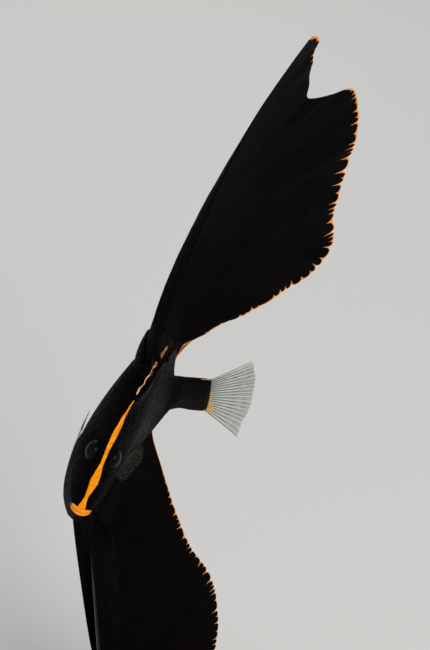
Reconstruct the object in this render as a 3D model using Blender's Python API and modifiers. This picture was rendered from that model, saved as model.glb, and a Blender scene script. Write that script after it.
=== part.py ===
"""Juvenile batfish, a still life-size model turning to its left, held on a rod over a flat base.

Metres, +Z up. The head points to -X and the fish's left side to -Y. The origin is the centre of
the underside of the base. The fish is laid out straight first, as fractions of its standard
length: x runs back from the mouth, y to its right and z up. place() then bends it along its spine,
banks it and lifts it over the base.
"""
import math

import bmesh
import bpy
import numpy as np
from mathutils import Matrix, Vector

# Driving dimensions, in metres and degrees
LENGTH = 0.070  # standard length: front of the lips to the end of the fleshy tail base
GAP = 0.0003  # between two pieces that touch
TURN = 48.0  # how far the tail swings to the fish's left
BANK = 21.0  # how far the back leans to the fish's left
CLEARANCE = 0.009  # from the lowest fin tip down to the base
BASE_RADIUS = 0.070
BASE_HEIGHT = 0.010
BASE_EDGE = 0.0025  # radius of the rounded upper edge
ROD_RADIUS = 0.00125
ROD_SOCKET = 0.0035  # how deep the rod stands in the belly
ROD_LEAN = 3.5  # how far its foot stands out to the fish's left, so that it rises between the pelvic fins
FISH_OVER_BASE = (-0.036, 0.014)  # the mouth's place over the base, before the height is added

# Stations along the straight fish, as fractions of LENGTH
HEAD_FRONT, HEAD_BACK = 0.020, 0.312
TRUNK_BACK, TAIL_BASE_BACK = 0.745, 0.985
BEND_START, BEND_END = 0.15, 0.90
ROD_X = 0.500

# Outline of the body from the side: (x, z) as fractions of LENGTH
BACK = ((0.0, 0.026), (0.03, 0.065), (0.12, 0.190), (0.25, 0.363), (0.31, 0.455), (0.36, 0.510),
        (0.43, 0.540), (0.52, 0.512), (0.62, 0.400), (0.69, 0.262), (0.73, 0.205), (0.80, 0.182),
        (0.90, 0.163), (1.00, 0.145))
BELLY = ((0.0, -0.026), (0.03, -0.060), (0.12, -0.155), (0.25, -0.285), (0.36, -0.375), (0.50, -0.425),
         (0.61, -0.385), (0.69, -0.220), (0.74, -0.065), (0.78, 0.010), (0.82, 0.012),
         (0.91, -0.016), (1.00, -0.042))
HALF_WIDTH = ((0.0, 0.032), (0.05, 0.050), (0.12, 0.069), (0.20, 0.082), (0.30, 0.091), (0.42, 0.093),
              (0.55, 0.082), (0.68, 0.060), (0.78, 0.041), (0.88, 0.031), (1.00, 0.024))
CREST_HALF = 0.0125  # half the width of the flat crest that a fin stands on
BROW_HALF = 0.0085  # the same on the forehead and throat, where no fin stands
FLANK_SHAPE = (1.6, 0.85)  # powers that make a section a wedge above and below, full between
FLANK_POINTS = 12  # down each flank, in one section
STATION_STEP = 0.026  # between two sections of the body, along its outline
TAIL_LEAN, TAIL_LEAN_FROM = 0.36, 0.78  # slope of the rear end of the tail base, which leans forward

# Gill cover: a low plate whose rear edge is an arc
GILL_CENTRE = (0.105, -0.010)
GILL_RADII = (0.185, 0.205)
GILL_RISE = 0.0075
GILL_FLAT, GILL_EDGE = 0.45, 0.08  # where the plate starts to rise, and its edge, as shares of the arc
GILL_FROM, GILL_FADE = 0.13, 0.08  # ahead of this station there is no plate

# Sideways set of the fins: the dorsal fin bows to the right and its front edge curls to the left,
# and all below the gills hangs to the left
DORSAL_BOW, DORSAL_BOW_FROM, DORSAL_BOW_SPAN, DORSAL_BOW_SKEW = 0.088, 0.42, 1.80, 0.66
CURL, CURL_BACK, CURL_FRONT, CURL_FROM, CURL_FULL = 0.070, 0.430, 0.310, 0.30, 0.60
HANG, HANG_FROM, HANG_ROUND = 0.33, -0.12, 0.10

# Margins of the fins from the side, from the tip of the first ray to the tip of the last
DORSAL_ROOT = (0.320, 0.700)
DORSAL_MARGIN = ((0.490, 1.830), (0.570, 1.745), (0.605, 1.680), (0.690, 1.560), (0.750, 1.492),
                 (0.835, 1.515), (0.925, 1.538), (1.030, 1.430), (1.105, 1.290), (1.160, 1.130),
                 (1.212, 0.940), (1.300, 0.755), (1.262, 0.650), (1.150, 0.560), (0.970, 0.477),
                 (0.805, 0.433), (0.700, 0.400))
ANAL_ROOT = (0.545, 0.730)
ANAL_MARGIN = ((1.290, -1.860), (1.380, -1.740), (1.455, -1.520), (1.478, -1.260), (1.428, -1.060),
               (1.325, -0.880), (1.180, -0.730), (1.040, -0.535), (0.925, -0.350), (0.845, -0.225),
               (0.782, -0.120), (0.768, -0.050))
PELVIC_ROOT = (0.338, 0.398)
PELVIC_MARGIN = ((0.960, -1.460), (0.900, -1.220), (0.770, -0.930), (0.670, -0.710), (0.585, -0.560),
                 (0.500, -0.470))
RAY_ARCH = {"dorsal": 0.047, "anal": 0.060, "left": 0.070, "right": 0.030}  # bulge of a ray to the front
PELVIC_Y = 0.032  # of the root, from the middle of the belly
PELVIC_SPLAY = {"left": 0.065, "right": 0.012}  # how far the tip stands out from there
CAUDAL_LENGTH, CAUDAL_SPREAD, CAUDAL_DROOP = 0.260, 30.0, 8.0
CAUDAL_UNEVEN = 0.18  # share by which the lower rays are longer and the upper ones shorter
CAUDAL_ROUND = 0.03  # share by which the outer rays are shorter than the middle ones
CAUDAL_INSET = 0.006  # of the root, from the upper and lower edge of the tail base
PECTORAL_ROOT, PECTORAL_LENGTH = (0.336, -0.030), 0.185
PECTORAL_ROOT_HALF, PECTORAL_ROUND = 0.024, 0.22
PECTORAL_OUT, PECTORAL_SPREAD, PECTORAL_DROOP = 17.0, 32.0, 12.0
RAYS = {"dorsal": 24, "anal": 22, "pelvic": 4, "caudal": 12, "pectoral": 7}
ROWS = {"dorsal": 14, "anal": 14, "pelvic": 12, "caudal": 6, "pectoral": 5}
MEMBRANE_HALF = 0.00026  # half the thickness of the skin between two rays
RAY_HALF = 0.00042  # half the thickness at a ray, near its root
ROOT_HALF = {"dorsal": 0.00082, "anal": 0.00082, "pelvic": 0.00050, "caudal": 0.00070, "pectoral": 0.00034}
ROOT_REACH = 0.22  # share of a ray over which it thickens to its root
SCALLOP = 0.0007  # how far the skin draws in between two ray tips
PELVIC_GAP, PECTORAL_GAP = 0.00036, 0.00060  # to a flank that curves away from the root

# Head details
EYE_PLACE, EYE_RADIUS, EYE_FLAT = (0.155, 0.150), 0.0030, 0.62
EYE_SET = 0.5  # how far its centre lies inside the flank, as a share of its half thickness
LIP_RADIUS, LIP_WIDTH, LIP_BOW = 0.00062, 0.074, 0.022
LIP_AHEAD = 0.008  # of the front of the head, at the corners of the mouth
LIP_END = 0.55  # thickness of a lip at the corners, as a share of the middle
NOSTRILS = ((0.085, 0.098), (0.100, 0.118))
NOSTRIL_RADIUS = 0.00042


def smooth(points, x):
    """Value at x of a monotone cubic through (position, value) points."""
    at, value = np.array(points, float).T
    slope = np.diff(value) / np.diff(at)
    tangent = np.concatenate([slope[:1], np.zeros(len(at) - 2), slope[-1:]])
    product = slope[:-1] * slope[1:]
    rising = product > 0
    tangent[1:-1][rising] = 2 * product[rising] / (slope[:-1] + slope[1:])[rising]
    x = np.asarray(x, float)
    i = np.clip(np.searchsorted(at, x) - 1, 0, len(at) - 2)
    width = at[i + 1] - at[i]
    t = (x - at[i]) / width
    return (value[i] * (1 + 2 * t) * (1 - t) ** 2 + value[i + 1] * t * t * (3 - 2 * t)
            + width * t * (1 - t) * (tangent[i] * (1 - t) - tangent[i + 1] * t))


def curve_through(points, count):
    """count points spaced evenly along a smooth curve through the given ones."""
    points = np.array(points, float)
    chord = np.concatenate([[0], np.cumsum(np.linalg.norm(np.diff(points, axis=0), axis=1))])
    tangent = np.gradient(points, chord, axis=0)
    fine = np.linspace(0, chord[-1], 40 * len(points))
    i = np.clip(np.searchsorted(chord, fine) - 1, 0, len(chord) - 2)
    width = (chord[i + 1] - chord[i])[:, None]
    t = (fine - chord[i])[:, None] / width
    path = (points[i] * (1 + 2 * t) * (1 - t) ** 2 + points[i + 1] * t * t * (3 - 2 * t)
            + width * t * (1 - t) * (tangent[i] * (1 - t) - tangent[i + 1] * t))
    run = np.concatenate([[0], np.cumsum(np.linalg.norm(np.diff(path, axis=0), axis=1))])
    even = np.linspace(0, run[-1], count)
    return np.stack([np.interp(even, run, path[:, k]) for k in range(2)], axis=1)


def sway(x, z):
    """How far the plane of the fish stands to its right at a station and height."""
    up = np.clip((z - DORSAL_BOW_FROM) / DORSAL_BOW_SPAN, 0, 1)
    bow = DORSAL_BOW * np.sin(np.pi * up**DORSAL_BOW_SKEW)
    ahead = np.clip((CURL_BACK - x) / (CURL_BACK - CURL_FRONT), 0, None)
    risen = np.clip((z - CURL_FROM) / (CURL_FULL - CURL_FROM), 0, 1)
    curl = CURL * ahead**2 * risen * risen * (3 - 2 * risen)
    down = np.clip(HANG_FROM - z, 0, None)
    return bow - curl - HANG * (np.sqrt(down**2 + HANG_ROUND**2) - HANG_ROUND)


def spine():
    """Stations along the spine, its heading there, and its place in plan."""
    step = 0.001
    station = np.arange(-0.5, 3.0, step)
    t = np.clip((station - BEND_START) / (BEND_END - BEND_START), 0, 1)
    heading = math.radians(TURN) * t * t * (3 - 2 * t)
    plan_x = np.cumsum(np.cos(heading)) * step
    plan_y = -np.cumsum(np.sin(heading)) * step
    mouth = np.searchsorted(station, 0.0)
    return station, heading, plan_x - plan_x[mouth], plan_y - plan_y[mouth]


STATION, HEADING, PLAN_X, PLAN_Y = spine()


def banked(points):
    """Straight-fish points, bent and banked, in metres, with the mouth at the origin."""
    points = np.asarray(points, float)
    x, z = points[..., 0], points[..., 2]
    y = points[..., 1] + sway(x, z)
    heading = np.interp(x, STATION, HEADING)
    along = np.interp(x, STATION, PLAN_X) + y * np.sin(heading)
    across = np.interp(x, STATION, PLAN_Y) + y * np.cos(heading)
    bank = math.radians(BANK)
    return LENGTH * np.stack([along, across * math.cos(bank) - z * math.sin(bank),
                              across * math.sin(bank) + z * math.cos(bank)], axis=-1)


def lowest_tip():
    """Height of the lowest point of the fins below the mouth."""
    tips = np.array(ANAL_MARGIN + PELVIC_MARGIN)
    return banked(np.stack([tips[:, 0], np.zeros(len(tips)), tips[:, 1]], axis=1))[:, 2].min()


LIFT = np.array([*FISH_OVER_BASE, BASE_HEIGHT + CLEARANCE - lowest_tip()])


def place(points):
    """Straight-fish points in the finished model."""
    return banked(points) + LIFT


def frame_at(point):
    """Matrix whose axes are the fish's back, right and up directions at a straight-fish point."""
    step = 1e-3
    origin = place(point)
    columns = [place(np.add(point, offset)) - origin for offset in np.eye(3) * step]
    matrix = Matrix(np.array(columns).T / (step * LENGTH)).to_4x4()
    matrix.translation = Vector(origin)
    return matrix


def material(name, color, roughness, metallic=0.0, alpha=1.0):
    """A Principled material."""
    made = bpy.data.materials.new(name)
    made.use_nodes = True
    shader = made.node_tree.nodes["Principled BSDF"]
    shader.inputs["Base Color"].default_value = (*color, 1.0)
    shader.inputs["Roughness"].default_value = roughness
    shader.inputs["Metallic"].default_value = metallic
    shader.inputs["Alpha"].default_value = alpha
    return made


def add_object(name, mesh, finish, matrix=None):
    """An object for a mesh, with its material and smooth shading."""
    mesh.materials.append(finish)
    mesh.shade_smooth()
    mesh.set_sharp_from_angle(angle=math.radians(40))
    piece = bpy.data.objects.new(name, mesh)
    if matrix is not None:
        piece.matrix_world = matrix
    PARTS.objects.link(piece)
    return piece


def closed_mesh(name, points, faces):
    """A mesh with its faces turned outwards."""
    mesh = bpy.data.meshes.new(name)
    mesh.from_pydata([tuple(p) for p in points], [], faces)
    bm = bmesh.new()
    bm.from_mesh(mesh)
    if bm.calc_volume(signed=True) < 0:
        bmesh.ops.reverse_faces(bm, faces=bm.faces)
    bm.to_mesh(mesh)
    bm.free()
    return mesh


def cut(piece, cutter):
    """Cuts a piece by a closed cutter object, which becomes a hidden guide."""
    CUTTERS.objects.link(cutter)
    cutter.hide_render = True
    cutter.display_type = "WIRE"
    modifier = piece.modifiers.new("cut " + cutter.name, "BOOLEAN")
    modifier.object = cutter
    modifier.operation = "DIFFERENCE"


def ball(name, radii, matrix, segments=16, rings=10):
    """A closed ellipsoid object, not linked yet."""
    bm = bmesh.new()
    bmesh.ops.create_uvsphere(bm, u_segments=segments, v_segments=rings, radius=1.0)
    bmesh.ops.scale(bm, verts=bm.verts, vec=radii)
    mesh = bpy.data.meshes.new(name)
    bm.to_mesh(mesh)
    bm.free()
    piece = bpy.data.objects.new(name, mesh)
    piece.matrix_world = matrix
    return piece


def crest_half(x):
    """Half the width of the crest along the top and bottom of the body."""
    return smooth(((0.0, BROW_HALF), (0.30, BROW_HALF), (0.325, CREST_HALF), (1.0, CREST_HALF)), x)


def gill_relief(x, z):
    """Height of the gill cover over the flank."""
    reach = np.hypot((x - GILL_CENTRE[0]) / GILL_RADII[0], (z - GILL_CENTRE[1]) / GILL_RADII[1])
    rise = np.clip((reach - GILL_FLAT) / (1 - GILL_FLAT), 0, 1)
    fall = np.clip((1 + GILL_EDGE - reach) / GILL_EDGE, 0, 1)
    behind = np.clip((x - GILL_FROM) / GILL_FADE, 0, 1)
    return GILL_RISE * rise * rise * (3 - 2 * rise) * fall * behind


def flank(x, z):
    """Half the width of the body at a station and height."""
    top, bottom = smooth(BACK, x), smooth(BELLY, x)
    v = np.clip(np.abs((2 * z - top - bottom) / (top - bottom)), 0, 1)
    crest = crest_half(x)
    wedge, full = FLANK_SHAPE
    return crest + (smooth(HALF_WIDTH, x) - crest) * (1 - v**wedge) ** full + gill_relief(x, z)


def tail_lean(x, z):
    """How far back a point of the body lies because the rear end of the tail base leans."""
    middle = (smooth(BACK, TAIL_BASE_BACK) + smooth(BELLY, TAIL_BASE_BACK)) / 2
    t = np.clip((x - TAIL_LEAN_FROM) / (TAIL_BASE_BACK - TAIL_LEAN_FROM), 0, 1)
    return TAIL_LEAN * t * (middle - z)


def section(x):
    """One closed ring of the body: down the right flank and up the left one."""
    top, bottom = float(smooth(BACK, x)), float(smooth(BELLY, x))
    v = np.cos(np.linspace(0, np.pi, FLANK_POINTS))
    z = (top + bottom) / 2 + v * (top - bottom) / 2
    right = np.stack([x + tail_lean(x, z), flank(np.full(FLANK_POINTS, x), z), z], axis=1)
    return np.concatenate([right, right[::-1] * (1, -1, 1)])


def stations(start, end):
    """Stations from start to end, closer together where the outline is steep."""
    fine = np.linspace(start, end, 400)
    rise = np.abs(np.gradient(smooth(BACK, fine), fine)) + np.abs(np.gradient(smooth(BELLY, fine), fine))
    run = np.concatenate([[0], np.cumsum(np.diff(fine) * np.sqrt(1 + (rise[1:] / 2) ** 2))])
    return np.interp(np.linspace(0, run[-1], round(run[-1] / STATION_STEP) + 1), run, fine)


def body_length(name, start, end, finish):
    """A closed length of the body between two stations."""
    rings = np.array([section(x) for x in stations(start, end)])
    count, around = rings.shape[:2]
    points = place(rings.reshape(-1, 3))
    faces = []
    for i in range(count - 1):
        for j in range(around):
            a, b = i * around + j, i * around + (j + 1) % around
            faces += [(a, b, b + around), (a, b + around, a + around)]
    half = around // 2
    for first, turn in ((0, 1), ((count - 1) * around, -1)):
        for j in range(half - 1):
            strip = [first + j, first + j + 1, first + around - 2 - j, first + around - 1 - j]
            faces.append(tuple(strip[:: -turn]))
    return add_object(name, closed_mesh(name, points, faces), finish)


def fin(name, middle, half, finish, side=(0.0, 1.0, 0.0), root=None):
    """A closed thin fin from the rows and columns of its middle surface, rows running out from the root.

    Both faces are split into triangles alike. root, if given, moves the first row of each face."""
    rows, columns = middle.shape[:2]
    faces_of = [middle + half[..., None] / LENGTH * np.array(side) * way for way in (1, -1)]
    if root:
        for face in faces_of:
            face[0] = root(face[0])
    points = place(np.concatenate([face.reshape(-1, 3) for face in faces_of]))
    other = rows * columns
    faces = []
    for i in range(rows - 1):
        for j in range(columns - 1):
            a, b, c, d = (i * columns + j, i * columns + j + 1, (i + 1) * columns + j + 1, (i + 1) * columns + j)
            split = ((a, b, c), (a, c, d)) if j % 2 else ((a, b, d), (b, c, d))
            for triangle in split:
                faces += [triangle, tuple(p + other for p in triangle[::-1])]
    rim = list(range(columns))
    rim += [i * columns + columns - 1 for i in range(1, rows)]
    rim += [(rows - 1) * columns + j for j in range(columns - 2, -1, -1)]
    rim += [i * columns for i in range(rows - 2, 0, -1)]
    for a, b in zip(rim, rim[1:] + rim[:1]):
        faces += [(b, a, a + other), (b, a + other, b + other)]
    return add_object(name, closed_mesh(name, points, faces), finish)


def thickness(kind, shape):
    """Half thickness of a fin: ridges on every second column, thick at the root and thin at the tip."""
    rows, columns = shape[:2]
    out = np.linspace(0, 1, rows)[:, None]
    ray = np.arange(columns)[None, :] % 2 == 0
    ridge = RAY_HALF + (MEMBRANE_HALF - RAY_HALF) * out
    base = np.where(ray, ridge, MEMBRANE_HALF)
    swell = np.clip(1 - out / ROOT_REACH, 0, 1) ** 2
    return base + (ROOT_HALF[kind] - base) * swell


def drawn_in(margin, roots, rays):
    """Margin points with those between two rays drawn in towards their roots."""
    inward = roots - margin
    inward /= np.linalg.norm(inward, axis=1)[:, None]
    between = (np.arange(2 * rays - 1) % 2 == 1)[:, None]
    return margin + inward * between * SCALLOP / LENGTH


def median_rays(kind, root_span, outline, edge, lean, arch):
    """Rows and columns of a dorsal, anal or pelvic fin in the side view: (rows, columns, x and z).

    edge is the body's outline that carries the fin, lean is +1 above and -1 below, and arch is the
    bulge of the rays."""
    rays, rows = RAYS[kind], ROWS[kind]
    columns = 2 * rays - 1
    x = np.linspace(*root_span, columns)
    step = 1e-3
    slope = (smooth(edge, x + step) - smooth(edge, x - step)) / (2 * step)
    normal = np.stack([-slope, np.ones(columns)], axis=1) * lean
    normal /= np.linalg.norm(normal, axis=1)[:, None]
    roots = np.stack([x, smooth(edge, x)], axis=1) + normal * GAP / LENGTH
    margin = drawn_in(curve_through(outline, columns), roots, rays)
    chord = margin - roots
    ahead = np.stack([-np.abs(chord[:, 1]), chord[:, 0] * lean], axis=1) * arch
    control = (roots + margin) / 2 + 2 * ahead
    t = np.linspace(0, 1, rows)[:, None, None]
    return (1 - t) ** 2 * roots + 2 * t * (1 - t) * control + t * t * margin


def build_median_fin(name, kind, root_span, outline, edge, lean, finish):
    """The dorsal or the anal fin."""
    flat = median_rays(kind, root_span, outline, edge, lean, RAY_ARCH[kind])
    middle = np.stack([flat[..., 0], np.zeros(flat.shape[:2]), flat[..., 1]], axis=-1)
    return fin(name, middle, thickness(kind, flat.shape), finish)


def build_pelvic_fin(side, way, finish):
    """A pelvic fin: a long blade that stands out from the belly beside the crest."""
    flat = median_rays("pelvic", PELVIC_ROOT, PELVIC_MARGIN, BELLY, -1, RAY_ARCH[side])
    rows, columns = flat.shape[:2]
    out = np.linspace(0, 1, rows)[:, None] * np.ones((1, columns))
    y = way * (PELVIC_Y + PELVIC_SPLAY[side] * out * (2 - out))
    middle = np.stack([flat[..., 0], y, flat[..., 1]], axis=-1)

    def under_belly(points):
        """The first row laid along the underside of the flank, a gap off it."""
        heights = np.linspace(0, 1, 200)
        moved = points.copy()
        for point in moved:
            low, high = float(smooth(BELLY, point[0])), float(smooth(BACK, point[0]))
            z = low + (high - low) / 2 * heights
            width = flank(np.full(len(z), point[0]), z)
            slope = np.gradient(width, z)
            off = PELVIC_GAP / LENGTH / np.sqrt(1 + slope**2)
            point[2] = np.interp(abs(point[1]), width + off, z - slope * off)
        return moved

    return fin("pelvic_fin_" + side, middle, thickness("pelvic", flat.shape), finish, root=under_belly)


def fan(kind, length, spread, root_half, rounding, uneven=0.0, lean=0.0):
    """A fan in its own plane: (rows, columns, out and up), with its root across out = 0."""
    columns = 2 * RAYS[kind] - 1
    across = np.linspace(1, -1, columns)
    angle = np.radians(spread) * across
    reach = length * (1 - rounding * across**2) * (1 - uneven * across)
    roots = np.stack([-lean * root_half * across, root_half * across], axis=1)
    tips = roots + np.stack([reach * np.cos(angle), reach * np.sin(angle)], axis=1)
    tips = drawn_in(tips, roots, RAYS[kind])
    t = np.linspace(0, 1, ROWS[kind])[:, None, None]
    return roots * (1 - t) + tips * t


def build_caudal_fin(finish):
    """The tail fin, standing on the rear face of the tail base."""
    top, bottom = float(smooth(BACK, TAIL_BASE_BACK)), float(smooth(BELLY, TAIL_BASE_BACK))
    flat = fan("caudal", CAUDAL_LENGTH, CAUDAL_SPREAD, (top - bottom) / 2 - CAUDAL_INSET, CAUDAL_ROUND,
               CAUDAL_UNEVEN, TAIL_LEAN)
    droop = math.tan(math.radians(CAUDAL_DROOP))
    x = TAIL_BASE_BACK + GAP / LENGTH + flat[..., 0]
    z = (top + bottom) / 2 + flat[..., 1] - droop * (flat[..., 0] - flat[0, :, 0])
    middle = np.stack([x, np.zeros_like(x), z], axis=-1)
    return fin("caudal_fin", middle, thickness("caudal", x.shape), finish)


def build_pectoral_fin(side, way, finish):
    """A pectoral fin, standing out from the flank behind the gill cover."""
    flat = fan("pectoral", PECTORAL_LENGTH, PECTORAL_SPREAD, PECTORAL_ROOT_HALF, PECTORAL_ROUND)
    out = math.radians(PECTORAL_OUT)
    x0, z0 = PECTORAL_ROOT
    z = z0 + flat[..., 1] - math.tan(math.radians(PECTORAL_DROOP)) * flat[..., 0]
    wall = flank(np.full(z.shape[1], x0), z[0]) + PECTORAL_GAP / LENGTH
    x = x0 + flat[..., 0] * math.cos(out)
    y = way * (wall + flat[..., 0] * math.sin(out))
    middle = np.stack([x, y, z], axis=-1)
    across = (-way * math.sin(out), math.cos(out), 0.0)
    return fin("pectoral_fin_" + side, middle, thickness("pectoral", x.shape), finish, across)


def build_lip(name, way, finish):
    """A lip: a thick bow from one corner of the mouth to the other, tapered to both."""
    across = np.linspace(-1, 1, 11)
    x = HEAD_FRONT - LIP_AHEAD - LIP_BOW * (1 - across**2)
    y = LIP_WIDTH / 2 * across
    z = np.full(len(across), way * (LIP_RADIUS + GAP / 2) / LENGTH)
    path = place(np.stack([x, y, z], axis=1))
    curve = bpy.data.curves.new(name, "CURVE")
    curve.dimensions = "3D"
    curve.bevel_depth = LIP_RADIUS
    curve.bevel_resolution = 2
    curve.use_fill_caps = True
    spline = curve.splines.new("POLY")
    spline.points.add(len(path) - 1)
    for point, at, side in zip(spline.points, path, across):
        point.co = (*at, 1.0)
        point.radius = LIP_END + (1 - LIP_END) * (1 - side**2)
    curve.materials.append(finish)
    piece = bpy.data.objects.new(name, curve)
    PARTS.objects.link(piece)
    return piece


def build_eye(name, way, head, finish):
    """An eye, flat from side to side, and its socket in the head."""
    x, z = EYE_PLACE
    y = float(flank(np.array([x]), np.array([z]))[0]) - EYE_SET * EYE_RADIUS * EYE_FLAT / LENGTH
    matrix = frame_at((x, way * y, z))
    radii = np.array([EYE_RADIUS, EYE_RADIUS * EYE_FLAT, EYE_RADIUS])
    cut(head, ball("socket_" + name, tuple(radii + GAP), matrix, segments=20))
    eye = ball(name, tuple(radii), matrix, segments=20)
    eye.data.materials.append(finish)
    eye.data.shade_smooth()
    PARTS.objects.link(eye)
    return eye


def cut_nostrils(head):
    """Two small pits on each side of the snout."""
    for side, way in (("left", -1), ("right", 1)):
        for number, (x, z) in enumerate(NOSTRILS):
            y = float(flank(np.array([x]), np.array([z]))[0])
            matrix = frame_at((x, way * y, z))
            cut(head, ball(f"nostril_{side}_{number}", (NOSTRIL_RADIUS,) * 3, matrix, 8, 6))


def build_stand(trunk, wood, steel):
    """The turned base and the rod, which stands in a socket in the belly."""
    profile = bpy.data.meshes.new("stand_base")
    corner = [math.radians(a) for a in range(0, 91, 15)]
    edge = [(BASE_RADIUS - BASE_EDGE + BASE_EDGE * math.cos(a), 0.0,
             BASE_HEIGHT - BASE_EDGE + BASE_EDGE * math.sin(a)) for a in corner]
    outline = [(0.0, 0.0, 0.0), (BASE_RADIUS, 0.0, 0.0), *edge, (0.0, 0.0, BASE_HEIGHT)][::-1]
    profile.from_pydata(outline, [(i, i + 1) for i in range(len(outline) - 1)], [])
    base = add_object("stand_base", profile, wood)
    screw = base.modifiers.new("turned", "SCREW")
    screw.steps = screw.render_steps = 64
    screw.use_merge_vertices = True
    screw.merge_threshold = 0.0001
    joint = place((ROD_X, 0.0, float(smooth(BELLY, ROD_X))))
    bottom, top = BASE_HEIGHT + GAP, float(joint[2]) + ROD_SOCKET
    cut(trunk, rod_object("socket_rod", joint, bottom, top + GAP, ROD_RADIUS + GAP))
    rod = rod_object("stand_rod", joint, bottom, top, ROD_RADIUS)
    rod.data.materials.append(steel)
    PARTS.objects.link(rod)


def rod_object(name, joint, bottom, top, radius):
    """A leaning round rod with level ends, which passes through a point, not linked yet."""
    slope = math.tan(math.radians(ROD_LEAN))
    bm = bmesh.new()
    bmesh.ops.create_cone(bm, cap_ends=True, segments=24, radius1=radius, radius2=radius, depth=top - bottom)
    for vert in bm.verts:
        vert.co.y += slope * (vert.co.z + (bottom + top) / 2 - joint[2])
    mesh = bpy.data.meshes.new(name)
    bm.to_mesh(mesh)
    bm.free()
    mesh.shade_smooth()
    mesh.set_sharp_from_angle(angle=math.radians(40))
    piece = bpy.data.objects.new(name, mesh)
    piece.location = (float(joint[0]), float(joint[1]), (bottom + top) / 2)
    return piece


for old in list(bpy.data.objects):
    bpy.data.objects.remove(old, do_unlink=True)
PARTS = bpy.data.collections.new("batfish")
CUTTERS = bpy.data.collections.new("cutters")
for collection in (PARTS, CUTTERS):
    bpy.context.scene.collection.children.link(collection)
CUTTERS.hide_render = True


def build():
    """All nodes of the model."""
    skin = material("black_skin", (0.006, 0.005, 0.008), 0.65)
    fins = material("black_fin", (0.008, 0.006, 0.008), 0.55)
    clear = material("clear_fin", (0.45, 0.48, 0.42), 0.30, alpha=0.35)
    orange = material("orange_lip", (0.95, 0.32, 0.01), 0.45)
    dark = material("eye", (0.01, 0.008, 0.006), 0.08)
    wood = material("base_wood", (0.20, 0.11, 0.06), 0.45)
    steel = material("rod_black_steel", (0.015, 0.015, 0.016), 0.35, metallic=0.6)
    half_gap = GAP / 2 / LENGTH
    head = body_length("head", HEAD_FRONT, HEAD_BACK - half_gap, skin)
    trunk = body_length("trunk", HEAD_BACK + half_gap, TRUNK_BACK - half_gap, skin)
    body_length("caudal_peduncle", TRUNK_BACK + half_gap, TAIL_BASE_BACK, skin)
    build_median_fin("dorsal_fin", "dorsal", DORSAL_ROOT, DORSAL_MARGIN, BACK, 1, fins)
    build_median_fin("anal_fin", "anal", ANAL_ROOT, ANAL_MARGIN, BELLY, -1, fins)
    build_caudal_fin(clear)
    for side, way in (("left", -1), ("right", 1)):
        build_pelvic_fin(side, way, fins)
        build_pectoral_fin(side, way, clear)
        build_eye("eye_" + side, way, head, dark)
    cut_nostrils(head)
    build_lip("lip_upper", 1, orange)
    build_lip("lip_lower", -1, orange)
    build_stand(trunk, wood, steel)


build()
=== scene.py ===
"""Looks of the juvenile batfish: skin, scales, fins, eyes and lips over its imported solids, and its stand.

Metres, +Z up. As in its solids, the fish is laid out straight, as fractions of its standard length,
with x running back from the mouth, y to the fish's right and z up, and place() bends and banks it.
"""

import math

import bmesh
import bpy
import numpy as np
from mathutils import Matrix, Vector


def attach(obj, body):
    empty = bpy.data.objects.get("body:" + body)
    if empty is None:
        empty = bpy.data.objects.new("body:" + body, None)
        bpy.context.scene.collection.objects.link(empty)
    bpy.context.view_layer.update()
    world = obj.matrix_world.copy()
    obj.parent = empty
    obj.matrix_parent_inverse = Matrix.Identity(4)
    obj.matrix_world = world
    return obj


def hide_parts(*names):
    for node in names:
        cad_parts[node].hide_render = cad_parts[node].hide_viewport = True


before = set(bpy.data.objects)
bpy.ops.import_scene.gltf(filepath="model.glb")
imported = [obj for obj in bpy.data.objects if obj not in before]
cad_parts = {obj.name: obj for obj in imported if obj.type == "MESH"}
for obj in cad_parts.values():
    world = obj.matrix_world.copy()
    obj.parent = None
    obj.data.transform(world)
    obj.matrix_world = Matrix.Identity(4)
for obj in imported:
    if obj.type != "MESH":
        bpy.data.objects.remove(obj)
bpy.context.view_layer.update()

# Sizes that the solids have too, in metres, degrees and, for the fish's own forms, fractions of its length
LENGTH = 0.070
TURN = 48.0
BANK = 21.0
CLEARANCE = 0.009
BASE_HEIGHT = 0.010
ROD_RADIUS = 0.00125
ROD_LEAN = 3.5
ROD_X = 0.500
FISH_OVER_BASE = (-0.036, 0.014)
HEAD_FRONT, TAIL_BASE_BACK = 0.020, 0.985
BEND_START, BEND_END = 0.15, 0.90
BACK = ((0.0, 0.026), (0.03, 0.065), (0.12, 0.190), (0.25, 0.363), (0.31, 0.455), (0.36, 0.510),
        (0.43, 0.540), (0.52, 0.512), (0.62, 0.400), (0.69, 0.262), (0.73, 0.205), (0.80, 0.182),
        (0.90, 0.163), (1.00, 0.145))
BELLY = ((0.0, -0.026), (0.03, -0.060), (0.12, -0.155), (0.25, -0.285), (0.36, -0.375), (0.50, -0.425),
         (0.61, -0.385), (0.69, -0.220), (0.74, -0.065), (0.78, 0.010), (0.82, 0.012),
         (0.91, -0.016), (1.00, -0.042))
HALF_WIDTH = ((0.0, 0.032), (0.05, 0.050), (0.12, 0.069), (0.20, 0.082), (0.30, 0.091), (0.42, 0.093),
              (0.55, 0.082), (0.68, 0.060), (0.78, 0.041), (0.88, 0.031), (1.00, 0.024))
CREST_HALF, BROW_HALF = 0.0125, 0.0085
FLANK_SHAPE = (1.6, 0.85)
TAIL_LEAN, TAIL_LEAN_FROM = 0.36, 0.78
GILL_CENTRE, GILL_RADII = (0.105, -0.010), (0.185, 0.205)
GILL_RISE, GILL_FLAT, GILL_EDGE = 0.0075, 0.45, 0.08
GILL_FROM, GILL_FADE = 0.13, 0.08
DORSAL_BOW, DORSAL_BOW_FROM, DORSAL_BOW_SPAN, DORSAL_BOW_SKEW = 0.088, 0.42, 1.80, 0.66
CURL, CURL_BACK, CURL_FRONT, CURL_FROM, CURL_FULL = 0.070, 0.430, 0.310, 0.30, 0.60
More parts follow.
